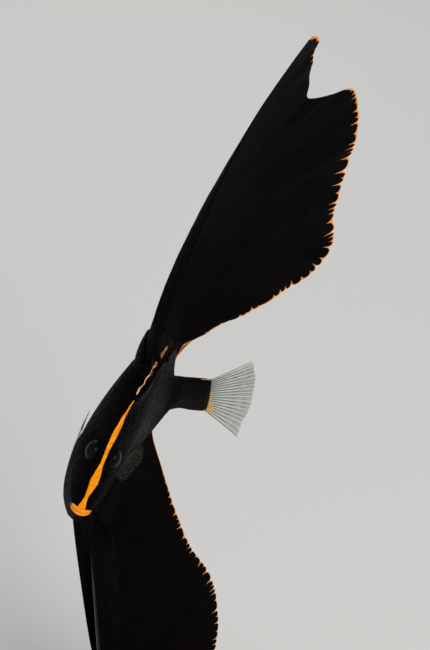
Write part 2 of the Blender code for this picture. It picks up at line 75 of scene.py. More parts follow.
HANG, HANG_FROM, HANG_ROUND = 0.33, -0.12, 0.10
# Where a fin's rays start for their share along its margin, and its margin, from the first ray's tip to the
# rear of its root
DORSAL_ROOT = ((0.0, 0.320), (0.97, 0.652), (1.0, 0.700))
DORSAL_MARGIN = ((0.500, 1.824), (0.545, 1.812), (0.589, 1.780), (0.603, 1.722), (0.627, 1.681),
                 (0.649, 1.642), (0.700, 1.565), (0.744, 1.496), (0.835, 1.515), (0.925, 1.540),
                 (0.965, 1.508), (1.030, 1.430), (1.105, 1.290), (1.160, 1.130), (1.212, 0.940),
                 (1.300, 0.755), (1.262, 0.650), (1.150, 0.560), (0.970, 0.477), (0.805, 0.425),
                 (0.715, 0.397), (0.676, 0.388))
ANAL_ROOT = ((0.0, 0.545), (0.96, 0.722), (1.0, 0.765))
ANAL_MARGIN = ((1.290, -1.860), (1.380, -1.740), (1.455, -1.520), (1.478, -1.260), (1.428, -1.060),
               (1.325, -0.880), (1.180, -0.730), (1.040, -0.535), (0.925, -0.350), (0.845, -0.225),
               (0.780, -0.112), (0.764, -0.060), (0.780, -0.018))
PELVIC_ROOT = ((0.0, 0.338), (1.0, 0.398))
# The solids' pelvic fins are 1 to 2 mm narrower at their rear, which here closes the gap to the anal fin
PELVIC_MARGIN = ((0.960, -1.460), (0.900, -1.220), (0.770, -0.930), (0.675, -0.705), (0.600, -0.555),
                 (0.525, -0.462))
PELVIC_Y, PELVIC_SPLAY = 0.032, {"left": 0.065, "right": 0.012}
CAUDAL_LENGTH, CAUDAL_SPREAD, CAUDAL_DROOP = 0.260, 30.0, 8.0
CAUDAL_UNEVEN, CAUDAL_ROUND, CAUDAL_INSET = 0.18, 0.03, 0.006
PECTORAL_ROOT, PECTORAL_LENGTH = (0.336, -0.030), 0.185
PECTORAL_ROOT_HALF, PECTORAL_ROUND = 0.024, 0.22
PECTORAL_OUT, PECTORAL_SPREAD, PECTORAL_DROOP = 17.0, 32.0, 12.0
EYE_PLACE, EYE_RADIUS, EYE_FLAT, EYE_SET = (0.155, 0.150), 0.0030, 0.62, 0.5
LIP_RADIUS, LIP_WIDTH, LIP_BOW, LIP_AHEAD, LIP_END = 0.00062, 0.074, 0.022, 0.008, 0.55
NOSTRILS = ((0.085, 0.098), (0.100, 0.118))

# Skin and scales, as fractions of the fish's length where no unit is named
COAT_DEPTH = 0.0012
SNOUT_ROUND = 0.026
TAIL_ROUND_FROM, TAIL_ROUND_CORNER = 0.950, 0.10
CREST_ROUND = 0.012
CREST_FROM, CREST_FULL = 0.30, 0.325  # where the narrow crest of the brow goes over to that of the back
SKIN_STATIONS, SNOUT_RINGS, FLANK_RINGS, CREST_RINGS = 250, 16, 84, 8
SCALE_STEP, SCALE_ROW = 0.0118, 0.0104
SCALE_NARROWING = 0.35  # how strongly scales shrink where the body is low
SCALES_FROM, SCALES_TO = 0.045, 0.972
SCALE_EDGE = 0.985  # share of the half height that they reach
SCALE_LENGTH, SCALE_WIDTH = SCALE_STEP * 1.75, 0.82
SCALE_STRAY = 0.05  # how far they stray from their places, beside their spacing
SCALE_SIZES = (0.93, 1.07)  # their smallest and largest size, beside the usual one
FACE_SCALE, FACE_FROM, FACE_SPAN = 0.62, 0.04, 0.24  # their size on the snout, and where it grows
MOST_ROWS = 60  # rows on either side of the middle, more than there is room for
LINE_HALF, LINE_STAND = 0.55, 1.7  # half the side line's width, in rows, and how much higher its scales stand
SNOUT_BARE, SNOUT_BARE_SKEW = 0.065, 0.25  # no scales ahead of this station, or a little less above and below
BREAST_BARE, BREAST_BARE_HALF = (-0.02, 0.012), 0.030  # nor round the root of a breast fin
LATERAL_LINE = ((0.24, 0.235), (0.34, 0.335), (0.46, 0.375), (0.58, 0.315), (0.70, 0.175), (0.80, 0.095),
                (0.96, 0.060))
GILL_FOLD = (0.58, 0.045, 0.0016)  # place, width and depth of the fold ahead of the gill cover's edge
CHEEK_FROM, CHEEK_FADE, CHEEK_TOP, CHEEK_TOP_FADE = 0.07, 0.05, 0.12, 0.06  # where that fold fades out
# In metres, round the middle of an eye and of a nostril: forms as distance from it, height and width, and how
# far out there are no scales
ORBIT = ((0.0028, 0.00012, 0.00040), (0.0041, -0.00008, 0.00045)), 0.0034
NOSTRIL = ((0.0, -0.00050, 0.00030), (0.00058, 0.00012, 0.00020)), 0.0009
HEAD_FORMS = ((EYE_PLACE, *ORBIT), *((at, *NOSTRIL) for at in NOSTRILS))

# Fins of the finished fish: rays, columns between two rays, rows from root to margin
DORSAL_GRID, ANAL_GRID, PELVIC_GRID = (36, 17, 60), (32, 17, 60), (6, 8, 56)
CAUDAL_GRID, PECTORAL_GRID = (19, 6, 30), (14, 6, 24)
# How far the rays of a fin bow forwards, beside their length
RAY_ARCH = {"dorsal": 0.047, "anal": 0.060, "left": 0.070, "right": 0.030}
FIN_SUNK = 0.013  # how far a fin's root goes into the flesh
FAN_SUNK = 0.010  # the same for the tail and breast fins
PECTORAL_SUNK = 0.004  # how far inside the flank a breast fin leaves its side
PELVIC_ROOT_Z = 0.085  # how far above the belly's outline the pelvic fins start, inside the flesh
# For each kind of fin, in metres: half the thickness of its skin at the root and at the margin, with the
# ridge on a ray, and the radius of a ray at its root and its tip. Then how many spines it has, and at which
# share of the way out its rays start.
FIN_BUILD = {"median": ((0.00072, 0.00012, 0.00006), (0.00034, 0.00011), 5, 0.02),
             "pelvic": ((0.00050, 0.00013, 0.00008), (0.00040, 0.00012), 1, 0.02),
             "caudal": ((0.00052, 0.00008, 0.00004), (0.00022, 0.00006), 2, 0.0),
             "pectoral": ((0.00040, 0.00007, 0.00003), (0.00018, 0.00005), 1, 0.0)}
FLESH_REACH = 0.16  # share of the way out over which the flesh of a fin's root thins
EDGE_ROUND, EDGE_LEAST = 0.012, 0.12  # share of it over which the margin is rounded, and how blunt that stays
RIDGE_HALF = 0.16  # half the width of the ridge on a ray, in rays
MARGIN_CROWDING = 1.7  # above 1, a fin's rows lie closer near its margin
# How high each kind of fin ripples, and the rays from wave to wave
RIPPLE = {"dorsal": (0.0035, 5.3), "anal": (0.0035, 5.9), "pelvic": (0.0020, 3.1),
          "caudal": (0.0030, 7.3), "pectoral": (0.0022, 5.1)}
RIPPLE_WAVES = ((1.0, 1.0, 0.7), (0.5, 0.43, 2.1))  # its two waves: height and length beside those, start
FAN_SCALLOP = 0.0045  # how far the margin of the tail and breast fins draws in between two rays
RAY_SIDES = 7
# Parts of a soft ray that forks twice, and of a spine: share of the way out at the start, for forks alone,
# and at the end, place there beside the ray's middle, in rays, number of points, and thickness beside the
# stem's
RAY_STEM = (0.42, 0.0, 0.0, 9, 1.0)
RAY_FORKS = ((0.42, 0.70, 0.0, -0.17, 6, 0.78), (0.42, 0.70, 0.0, 0.17, 6, 0.78),
             (0.70, 0.985, -0.17, -0.27, 7, 0.62), (0.70, 0.985, -0.17, -0.09, 7, 0.62),
             (0.70, 0.985, 0.17, 0.09, 7, 0.62), (0.70, 0.985, 0.17, 0.27, 7, 0.62))
SPINE = (0.975, 0.0, 0.0, 20, 1.0)
TOOTH_PITCH_MM = 2.8  # between two teeth of the orange hem
TOOTH_DRIFT = ((0.30, 11.3, 0.0), (0.22, 17.9, 1.3))  # how that varies: in teeth, over how many mm, start
TOOTH_LEAST, TOOTH_MORE = 0.35, 0.75  # the shortest tooth, and what chance adds, as shares of the usual
NOTCH_MM, NOTCH_REACH_MM = 1.9, 4.5  # deepest draw-in of the margin at a tooth, and how far in it fades out
NOTCH_LEAST = 0.15  # share of the depth that the shallowest has
# Along the margin from the first ray's tip: share, width of the hem, length of its teeth and depth of the
# notches at them, in mm, mm and shares of the deepest
DORSAL_HEM = ((0.0, 0.70, 0.6, 0.15), (0.030, 0.50, 0.9, 0.2), (0.038, 0.0, 1.5, 0.2), (0.10, 0.0, 1.3, 0.1),
              (0.125, 0.0, 0.0, 0.0), (0.255, 0.0, 0.0, 0.0), (0.262, 0.34, 0.9, 0.2),
              (0.40, 0.30, 1.9, 0.45), (0.52, 0.28, 2.6, 1.0), (0.66, 0.30, 2.4, 1.0),
              (0.76, 0.32, 2.0, 0.7), (0.84, 0.36, 0.8, 0.3), (0.92, 0.20, 0.2, 0.0), (1.0, 0.17, 0.0, 0.0))
ANAL_HEM = ((0.0, 0.0, 2.0, 0.4), (0.45, 0.0, 1.8, 0.4), (0.60, 0.04, 1.6, 0.35), (0.70, 0.20, 1.4, 0.3),
            (0.78, 0.22, 0.5, 0.1), (0.86, 0.18, 0.1, 0.0), (1.0, 0.22, 0.0, 0.0))
NO_HEM = ((0.0, 0, 0, 0), (1.0, 0, 0, 0))
EDGE_RAY_SHARE = 0.62  # thickness of a fin's first ray, beside the next ones
GOLD_FROM, GOLD_SPAN = 0.28, 0.60  # share of the tail fin, from its top, where its gold starts and grows
# How solid the see-through fins look: their skin where it is thinnest and thickest, and their rays
CAUDAL_BODY, PECTORAL_BODY = ((0.10, 0.28), 0.70), ((0.008, 0.03), 0.055)

# Half the width of the orange band on the crest at each station, and of the thin line behind it
BAND = ((-0.02, 0.0150), (-0.004, 0.0150), (0.006, 0.0085), (0.022, 0.0062), (0.040, 0.0105), (0.060, 0.0160),
        (0.078, 0.0125), (0.098, 0.0062), (0.120, 0.0068), (0.150, 0.0090), (0.172, 0.0102),
        (0.195, 0.0080), (0.215, 0.0052), (0.240, 0.0032), (0.247, 0.0020), (0.250, 0.0), (0.262, 0.0),
        (0.266, 0.0020), (0.310, 0.0018), (0.345, 0.0013), (0.412, 0.0009), (0.416, 0.0), (0.450, 0.0),
        (0.454, 0.0009), (0.520, 0.0008))
# How far to the fish's left of the crest the band lies at each station, and behind it the thin line of the
# nape, which runs down beside the dorsal fin
BAND_ASIDE = ((0.010, 0.0), (0.040, 0.003), (0.070, 0.006), (0.110, 0.004), (0.135, 0.003), (0.170, 0.006),
              (0.190, 0.009), (0.225, 0.010), (0.249, 0.001), (0.268, -0.008), (0.282, -0.0115),
              (0.294, -0.005), (0.314, 0.015), (0.336, 0.026), (0.361, 0.0336), (0.388, 0.0390),
              (0.4175, 0.0413), (0.453, 0.0394), (0.4875, 0.0358), (0.524, 0.0308))
NAPE_FROM = (0.250, 0.262)  # where the band ends and the line begins
BAND_STRAY = 0.0040  # how far the edges of the markings stray in all
# Painted highlight along the top and bottom of the tail base, a thin pink line: half its width, and the
# stations and heights over which its upper and its lower stretch fade in
TAIL_HIGHLIGHT_HALF = 0.0030
TAIL_HIGHLIGHT_TOP, TAIL_HIGHLIGHT_BOTTOM = ((0.885, 0.905), (0.118, 0.126)), ((0.775, 0.800), (0.05, 0.03))

# Eyes: points round and across, height of the clear dome and how far it reaches, as shares of the radius
EYE_SIDES, EYE_RINGS, DOME_RISE, DOME_REACH = 64, 40, 0.07, 0.72
# Lips: points along and round, how far each goes past the corners of the mouth, how far it lies over or under
# the mouth, in radii, how much nearer it comes at the corners, and its height beside its depth
LIP_POINTS, LIP_SIDES = 61, 20
LIP_REACH, LIP_RISE, LIP_DIP, LIP_ROUND = 1.14, 0.80, 0.35, 0.84

# Stand: outline of the collar round the foot of the rod, as distance from its middle and height, in radii of
# the rod, and heart and year rings of the base's wood
COLLAR = ((0.96, 0.0), (3.1, 0.0), (3.3, 0.18), (3.3, 0.62), (3.05, 0.86), (2.2, 0.96), (1.9, 1.15),
          (1.75, 1.7), (1.55, 1.9), (0.96, 1.9))
COLLAR_SIDES = 48
WOOD_HEART, WOOD_RINGS = (0.031, -0.065), 1500.0

# Camera, fitted to the photograph
CAMERA_AT = (-0.3753, -0.0519, 0.4647)
CAMERA_AZIMUTH, CAMERA_ELEVATION, CAMERA_ROLL = -84.20, 35.04, 3.21
CAMERA_LENS, CAMERA_SENSOR = 100.0, 36.0

# Studio: tone of the floor, light of the room, and name, place, size, power and tint of each lamp
FLOOR_SIZE, FLOOR_TONE = 6.0, (0.80, 0.79, 0.77, 1.0)
ROOM_TINT, ROOM_LIGHT = (0.93, 0.96, 1.0, 1.0), 0.34
LAMPS_AIM = (0.0, 0.0, 0.17)
LAMPS = (("key", (-0.55, -0.55, 0.85), 0.55, 6.6, (1.0, 0.97, 0.93)),
         ("fill", (-0.45, 0.75, 0.45), 0.60, 1.6, (0.93, 0.97, 1.0)),
         ("rim", (0.75, 0.15, 0.60), 0.50, 1.5, (1.0, 1.0, 1.0)))


def share(done, span):
    """Which share of a span is done, between 0 and 1."""
    return np.clip(done / span, 0, 1)


def soft(t):
    """A share that starts and ends softly."""
    return t * t * (3 - 2 * t)


def eased(points, slopes, i, t, width):
    """A cubic through points with slopes, at a share t of the step from point i to the next, width long."""
    return (points[i] * (1 + 2 * t) * (1 - t) ** 2 + points[i + 1] * t * t * (3 - 2 * t)
            + width * t * (1 - t) * (slopes[i] * (1 - t) - slopes[i + 1] * t))


def smooth(points, x):
    """Value at x of a monotone cubic through (position, value) points."""
    at, value = np.array(points, float).T
    slope = np.diff(value) / np.diff(at)
    tangent = np.concatenate([slope[:1], np.zeros(len(at) - 2), slope[-1:]])
    product = slope[:-1] * slope[1:]
    rising = product > 0
    tangent[1:-1][rising] = 2 * product[rising] / (slope[:-1] + slope[1:])[rising]
    x = np.asarray(x, float)
    i = np.clip(np.searchsorted(at, x) - 1, 0, len(at) - 2)
    width = at[i + 1] - at[i]
    return eased(value, tangent, i, (x - at[i]) / width, width)


def run_along(points):
    """Distance along a line of points from its start to each of them."""
    return np.concatenate([[0], np.cumsum(np.linalg.norm(np.diff(points, axis=0), axis=1))])


def curve_through(points, count):
    """count points spaced evenly along a smooth curve through the given ones."""
    points = np.array(points, float)
    chord = run_along(points)
    tangent = np.gradient(points, chord, axis=0)
    fine = np.linspace(0, chord[-1], 40 * len(points))
    i = np.clip(np.searchsorted(chord, fine) - 1, 0, len(chord) - 2)
    width = (chord[i + 1] - chord[i])[:, None]
    path = eased(points, tangent, i, (fine - chord[i])[:, None] / width, width)
    run = run_along(path)
    even = np.linspace(0, run[-1], count)
    return np.stack([np.interp(even, run, path[:, k]) for k in range(2)], axis=1)


def sway(x, z):
    """How far the plane of the fish stands to its right at a station and height."""
    bow = DORSAL_BOW * np.sin(np.pi * share(z - DORSAL_BOW_FROM, DORSAL_BOW_SPAN) ** DORSAL_BOW_SKEW)
    ahead = np.clip((CURL_BACK - x) / (CURL_BACK - CURL_FRONT), 0, None)
    curl = CURL * ahead**2 * soft(share(z - CURL_FROM, CURL_FULL - CURL_FROM))
    down = np.clip(HANG_FROM - z, 0, None)
    return bow - curl - HANG * (np.sqrt(down**2 + HANG_ROUND**2) - HANG_ROUND)


def spine():
    """Stations along the spine, its heading there, and its place in plan."""
    step = 0.001
    station = np.arange(-0.5, 3.0, step)
    heading = math.radians(TURN) * soft(share(station - BEND_START, BEND_END - BEND_START))
    plan_x = np.cumsum(np.cos(heading)) * step
    plan_y = -np.cumsum(np.sin(heading)) * step
    mouth = np.searchsorted(station, 0.0)
    return station, heading, plan_x - plan_x[mouth], plan_y - plan_y[mouth]


STATION, HEADING, PLAN_X, PLAN_Y = spine()


def banked(points):
    """Straight-fish points, bent and banked, in metres, with the mouth at the origin."""
    points = np.asarray(points, float)
    x, z = points[..., 0], points[..., 2]
    y = points[..., 1] + sway(x, z)
    heading = np.interp(x, STATION, HEADING)
    along = np.interp(x, STATION, PLAN_X) + y * np.sin(heading)
    across = np.interp(x, STATION, PLAN_Y) + y * np.cos(heading)
    bank = math.radians(BANK)
    return LENGTH * np.stack([along, across * math.cos(bank) - z * math.sin(bank),
                              across * math.sin(bank) + z * math.cos(bank)], axis=-1)


def lowest_tip():
    """Height of the lowest point of the fins below the mouth."""
    tips = np.array(ANAL_MARGIN + PELVIC_MARGIN)
    return banked(np.stack([tips[:, 0], np.zeros(len(tips)), tips[:, 1]], axis=1))[:, 2].min()


LIFT = np.array([*FISH_OVER_BASE, BASE_HEIGHT + CLEARANCE - lowest_tip()])


def place(points):
    """Straight-fish points in the finished model."""
    return banked(points) + LIFT


def frame_at(point):
    """Matrix whose axes are the fish's back, right and up directions at a straight-fish point."""
    step = 1e-3
    origin = place(point)
    columns = [place(np.add(point, offset)) - origin for offset in np.eye(3) * step]
    matrix = Matrix(np.array(columns).T / (step * LENGTH)).to_4x4()
    matrix.translation = Vector(origin)
    return matrix


def bell(distance, width):
    """1 at no distance, falling to about 0 at twice the width."""
    return np.exp(-((distance / width) ** 2))


def mesh_of(name, points, faces, edges=(), **attributes):
    """A mesh whose points carry named numbers or vectors for its material."""
    mesh = bpy.data.meshes.new(name)
    mesh.from_pydata(np.asarray(points, float).tolist(), list(edges), faces)
    for key, values in attributes.items():
        give(mesh, key, values)
    return mesh


def give(mesh, key, values):
    """Stores a number or a vector for each point of a mesh."""
    values = np.asarray(values, np.float32)
    vector = values.ndim > 1
    layer = mesh.attributes.new(key, "FLOAT_VECTOR" if vector else "FLOAT", "POINT")
    layer.data.foreach_set("vector" if vector else "value", values.ravel())


def added(name, data):
    """An object in the scene."""
    piece = bpy.data.objects.new(name, data)
    bpy.context.scene.collection.objects.link(piece)
    return piece


def finished(mesh, finish, replaces=()):
    """Makes a finished mesh a piece that rides on the model."""
    if not mesh.materials:
        mesh.materials.append(finish.material)
    mesh.shade_smooth()
    piece = added(mesh.name, mesh)
    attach(piece, "root")
    if replaces:
        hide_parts(*replaces)


def face_out(mesh):
    """Turns the faces of a closed mesh outwards."""
    bm = bmesh.new()
    bm.from_mesh(mesh)
    if bm.calc_volume(signed=True) < 0:
        bmesh.ops.reverse_faces(bm, faces=bm.faces)
    bm.to_mesh(mesh)
    bm.free()
    return mesh


def ring_faces(rings, around, closed=False):
    """Faces between rings of points, and from the last ring to the first where they close."""
    return [(i * around + j, i * around + (j + 1) % around, k * around + (j + 1) % around, k * around + j)
            for i in range(rings if closed else rings - 1) for k in [(i + 1) % rings] for j in range(around)]


class Finish:
    """A material being built. Its calls add nodes and return the sockets that they give."""

    def __init__(self, name, **fixed):
        self.material = bpy.data.materials.new(name)
        self.material.use_nodes = True
        self.tree = self.material.node_tree
        self.shader = self.tree.nodes["Principled BSDF"]
        for socket, value in fixed.items():
            self.shader.inputs[socket.replace("_", " ")].default_value = value

    def node(self, kind, sockets=None, **settings):
        """A node, with each of its inputs set or fed."""
        made = self.tree.nodes.new(kind)
        for key, value in settings.items():
            setattr(made, key, value)
        for key, value in (sockets or {}).items():
            self.feed(made.inputs[key], value)
        return made

    def feed(self, socket, value):
        """Links a socket into an input, or sets the input's value."""
        if isinstance(value, bpy.types.NodeSocket):
            self.tree.links.new(value, socket)
        else:
            socket.default_value = value

    def attribute(self, name, output="Vector"):
        """What the points of the mesh carry under a name."""
        return self.node("ShaderNodeAttribute", attribute_name=name).outputs[output]

    def object_point(self, scale=(1.0, 1.0, 1.0), turn=(0.0, 0.0, 0.0)):
        """The point in the object's own metres, scaled and turned."""
        point = self.node("ShaderNodeTexCoord").outputs["Object"]
        return self.node("ShaderNodeMapping", {"Vector": point, "Rotation": turn, "Scale": scale}).outputs[0]

    def split(self, vector):
        """The three numbers of a vector."""
        return tuple(self.node("ShaderNodeSeparateXYZ", {0: vector}).outputs)

    def join(self, x, y, z=0.0):
        """A vector of three numbers."""
        return self.node("ShaderNodeCombineXYZ", {0: x, 1: y, 2: z}).outputs[0]

    def math(self, operation, a, b=0.0, c=0.0):
        """A calculation with up to three numbers."""
        return self.node("ShaderNodeMath", {0: a, 1: b, 2: c}, operation=operation).outputs[0]

    def plus(self, a, b):
        """The sum of two numbers."""
        return self.math("ADD", a, b)

    def minus(self, a, b):
        """A number less another."""
        return self.math("SUBTRACT", a, b)

    def times(self, a, b):
        """The product of two numbers."""
        return self.math("MULTIPLY", a, b)

    def larger(self, a, b):
        """The larger of two numbers."""
        return self.math("MAXIMUM", a, b)

    def aside(self, value):
        """How far a number is from the nearest whole one."""
        return self.math("ABSOLUTE", self.minus(value, self.math("ROUND", value)))

    def even(self, value, low, high, to_low=0.0, to_high=1.0, way="LINEAR"):
        """An even step from one number to another while value goes from low to high."""
        return self.node("ShaderNodeMapRange", {"Value": value, "From Min": low, "From Max": high,
                                                "To Min": to_low, "To Max": to_high},
                         interpolation_type=way).outputs[0]

    def remap(self, value, low, high, to_low=0.0, to_high=1.0):
        """A soft step from one number to another while value goes from low to high."""
        return self.even(value, low, high, to_low, to_high, "SMOOTHSTEP")

    def along(self, value, table):
        """The number that a table of (position, number) gives at a value."""
        (low, *_, high), numbers = zip(*table)
        least, most = min(numbers), max(numbers)
        stops = [((at - low) / (high - low), (number - least) / (most - least)) for at, number in table]
        return self.even(self.ramp(self.even(value, low, high), stops), 0.0, 1.0, least, most)

    def streaks(self, ray, out, per_ray, per_length, detail=3.0, roughness=0.55):
        """Fine streaks along the rays of a fin."""
        place_in_fin = self.join(self.times(ray, per_ray), self.times(out, per_length))
        return self.noise(place_in_fin, 1.0, detail, roughness)

    def noise(self, vector, scale, detail=3.0, roughness=0.55):
        """Soft noise between 0 and 1."""
        return self.node("ShaderNodeTexNoise", {"Vector": vector, "Scale": scale, "Detail": detail,
                                                "Roughness": roughness}).outputs[0]

    def ramp(self, value, stops):
        """A number or colour that changes along stops of (position, number or colour)."""
        made = self.node("ShaderNodeValToRGB", {0: value})
        elements = made.color_ramp.elements
        while len(elements) < len(stops):
            elements.new(0.5)
        for element, (position, shown) in zip(elements, stops):
            element.position = position
            element.color = (*shown, 1.0) if isinstance(shown, tuple) else (shown, shown, shown, 1.0)
        return made.outputs[0]

    def blend(self, amount, first, second, kind="MIX"):
        """One colour going over to another."""
        made = self.node("ShaderNodeMix", data_type="RGBA", blend_type=kind)
        for index, value in ((0, amount), (6, first), (7, second)):
            self.feed(made.inputs[index], (*value, 1.0) if isinstance(value, tuple) else value)
        return made.outputs[2]

    def bump(self, height, metres, strength=1.0, under=None):
        """A relief from a height between 0 and 1, over another relief if there is one."""
        sockets = {"Height": height, "Distance": metres, "Strength": strength}
        if under is not None:
            sockets["Normal"] = under
        return self.node("ShaderNodeBump", sockets).outputs[0]

    def show(self, **fed):
        """Feeds the shader."""
        for socket, value in fed.items():
            self.feed(self.shader.inputs[socket.replace("_", " ")], value)
        return self


BLACK, WARM_BLACK, BLUE_BLACK = (0.0014, 0.0012, 0.0017), (0.0030, 0.0020, 0.0018), (0.0013, 0.0015, 0.0028)
ORANGE, DEEP_ORANGE, YELLOW_ORANGE = (1.0, 0.300, 0.0030), (0.90, 0.150, 0.0040), (1.0, 0.430, 0.0150)
# The pink here is the colour of the painted highlight along the tail base.
PALE_ORANGE, HIGHLIGHT_PINK, GOLD = (1.0, 0.52, 0.22), (0.70, 0.24, 0.10), (0.72, 0.36, 0.015)
# The tans are the colours of the painted highlight on the rim and tooth tips of the fins' hem.
HIGHLIGHT_TAN, PALE_HIGHLIGHT_TAN = (0.80, 0.25, 0.050), (0.90, 0.44, 0.20)
ROOT_BLACK = (0.006, 0.005, 0.005)  # flesh at the root of a see-through fin


def orange_pattern(finish, point):
    """The orange of band, lips and hem, with its fine unevenness."""
    broad = finish.noise(point, 60.0, 3.0)
    tone = finish.blend(finish.remap(broad, 0.42, 0.66), ORANGE, YELLOW_ORANGE)
    deep = finish.remap(finish.noise(point, 420.0, 2.0), 0.56, 0.76, 0.0, 0.45)
    return finish.blend(deep, tone, DEEP_ORANGE)


def black_pattern(finish, point):
    """The velvety black of the body, a little warmer and bluer in places."""
    broad = finish.noise(point, 7.0, 4.0)
    tone = finish.blend(finish.remap(broad, 0.35, 0.60), WARM_BLACK, BLACK)
    return finish.blend(finish.remap(finish.noise(point, 26.0, 4.0), 0.52, 0.72), tone, BLUE_BLACK)


def body_marking(finish, fish):
    """Black, with the orange band of the forehead, the thin pale nape line and a pink painted highlight on
    the tail base.
    """
    x, y, z = finish.split(fish)
    end = BAND[-1][0]
    half = finish.along(x, BAND)
    ragged = finish.math("MULTIPLY_ADD", finish.noise(fish, 210.0, 4.0, 0.6), BAND_STRAY, -BAND_STRAY / 2)
    ragged = finish.times(ragged, finish.remap(x, NAPE_FROM[1], 0.320, 1.0, 0.25))
    off = finish.math("ABSOLUTE", finish.plus(y, finish.along(x, BAND_ASIDE)))
    inside = finish.minus(half, finish.plus(off, ragged))
    band = finish.times(finish.remap(inside, -0.0003, 0.0008), finish.remap(half, 0.0001, 0.0008))
    band = finish.times(band, finish.remap(z, 0.004, 0.014))
    band = finish.times(band, finish.remap(x, end + 0.004, end))
    # The thin pink line along the tail base, whole above and in broken spots below, is a painted highlight.
    beside = finish.math("ABSOLUTE", finish.plus(y, ragged))
    tail_highlight = finish.remap(finish.minus(TAIL_HIGHLIGHT_HALF, beside), -0.0006, 0.0010)
    above, below = (finish.times(finish.remap(x, *along), finish.remap(z, *up))
                    for along, up in (TAIL_HIGHLIGHT_TOP, TAIL_HIGHLIGHT_BOTTOM))
    broken = finish.remap(finish.noise(fish, 24.0, 1.0), 0.50, 0.58, 0.0, 0.6)
    tail_highlight = finish.times(tail_highlight, finish.plus(above, finish.times(below, broken)))
    orange = finish.blend(finish.remap(x, *NAPE_FROM), orange_pattern(finish, fish), PALE_ORANGE)
    return finish.blend(tail_highlight, finish.blend(band, black_pattern(finish, fish), orange), HIGHLIGHT_PINK)


def velvet_skin():
    """Skin of the body: velvety black, finely pored, with the orange band."""
    made = Finish("velvet_skin", Specular_IOR_Level=0.015)
    fish = made.attribute("fish")
    colour = body_marking(made, fish)
    pores = made.noise(fish, 420.0, 2.0, 0.7)
    folds = made.noise(fish, 60.0, 3.0)
    relief = made.bump(pores, 0.00008, 0.7, made.bump(folds, 0.00020, 0.5))
    rough = made.remap(folds, 0.3, 0.7, 0.50, 0.68)
    return made.show(Base_Color=colour, Roughness=rough, Normal=relief)


def scale_skin():
    """Scales: the skin's own markings, with a satin edge and growth rings on each scale."""
    made = Finish("scale_skin", Specular_IOR_Level=0.02)
    colour = body_marking(made, made.attribute("fish"))
    back, _, chance = made.split(made.attribute("scale"))
    shade = made.ramp(chance, [(0.0, 0.75), (1.0, 1.35)])
    colour = made.blend(1.0, colour, shade, "MULTIPLY")
    rings = made.math("SINE", made.times(made.plus(back, made.times(chance, 0.4)), 38.0))
    relief = made.bump(made.remap(rings, -1.0, 1.0), 0.000012, 0.6)
    rough = made.remap(made.plus(back, chance), 0.0, 1.8, 0.62, 0.40)
    return made.show(Base_Color=colour, Roughness=rough, Normal=relief)


def hem_mask(finish, fish):
    """Where a fin is light: a hem, with a wedge and a long tooth at each notch, and how much of it is orange
    rather than a painted highlight.
    """
    away, number, reach = finish.split(finish.attribute("hem"))
    width = finish.attribute("rim", "Fac")
    near = finish.larger(finish.math("MULTIPLY_ADD", finish.aside(number), -2.0, 1.0), 0.0)
    wedge = finish.times(finish.math("POWER", near, 3.4), finish.times(reach, 0.42))
    tooth = finish.times(finish.math("POWER", near, 11.0), finish.times(reach, 0.70))
    depth = finish.plus(finish.plus(wedge, tooth), width)
    ragged = finish.math("MULTIPLY_ADD", finish.noise(fish, 150.0, 3.0, 0.55), 0.20, -0.10)
    inside = finish.minus(finish.plus(depth, ragged), away)
    mask = finish.times(finish.remap(inside, -0.05, 0.08), finish.remap(depth, 0.05, 0.16))
    fleshy = finish.times(finish.remap(near, 0.35, 0.75), finish.remap(reach, 0.2, 0.7))
    # Towards a tooth's tip, and along the rim between the teeth, the orange gives way to the painted
    # highlight.
    towards_tip = finish.remap(finish.math("DIVIDE", away, finish.larger(depth, 0.05)), 0.55, 1.0)
    return mask, finish.times(fleshy, finish.minus(1.0, towards_tip))


def black_fin():
    """Fins: velvet black with fine streaks along the rays, and the orange toothed hem with pale tan painted
    highlight.
    """
    made = Finish("black_fin", Specular_IOR_Level=0.015)
    fish = made.attribute("fish")
    mask, fleshy = hem_mask(made, fish)
    ray, out, _ = made.split(made.attribute("ray"))
    streaks = made.streaks(ray, out, 9.0, 14.0, 4.0, 0.6)
    dark = made.blend(made.remap(streaks, 0.40, 0.72, 0.0, 0.7), black_pattern(made, fish), WARM_BLACK)
    # Pale tan on the hem's rim and at its teeth's tips is a painted highlight; the orange near the notches is
    # the fin's own.
    tan = made.blend(made.remap(made.noise(fish, 85.0, 3.0), 0.40, 0.62), HIGHLIGHT_TAN, PALE_HIGHLIGHT_TAN)
    light = made.blend(made.math("MULTIPLY_ADD", fleshy, 0.85, 0.12), tan, orange_pattern(made, fish))
    relief = made.bump(streaks, 0.00010, 0.7, made.bump(made.noise(fish, 500.0, 2.0), 0.00004, 0.5))
    rough = made.remap(streaks, 0.3, 0.7, 0.50, 0.66)
    return made.show(Base_Color=made.blend(mask, dark, light), Roughness=rough, Normal=relief)


def gold_streaks(finish, ray, out, gold):
    """Short golden streaks along the rays where the tail fin leaves its base, longest at its lower edge."""
    number = finish.math("ROUND", ray)
    chance = finish.node("ShaderNodeTexWhiteNoise", {"W": number}, noise_dimensions="1D").outputs[0]
    reach = finish.times(gold, finish.even(chance, 0.0, 1.0, 0.09, 0.22))
    within = finish.remap(finish.minus(finish.plus(reach, 0.045), out), 0.0, 0.03)
    within = finish.times(within, finish.remap(gold, 0.02, 0.12))
    return finish.times(within, finish.remap(finish.aside(ray), 0.42, 0.22))


def see_through(finish, tone, ray, out, gold, body):
    """Colour and body of a see-through fin's tone, with its golden streaks and its black root."""
    spots = gold_streaks(finish, ray, out, gold)
    root = finish.remap(out, 0.060, 0.040)
    colour = finish.blend(spots, finish.blend(root, tone, ROOT_BLACK), GOLD)
    return {"Base_Color": colour, "Alpha": finish.larger(body, finish.larger(spots, root))}


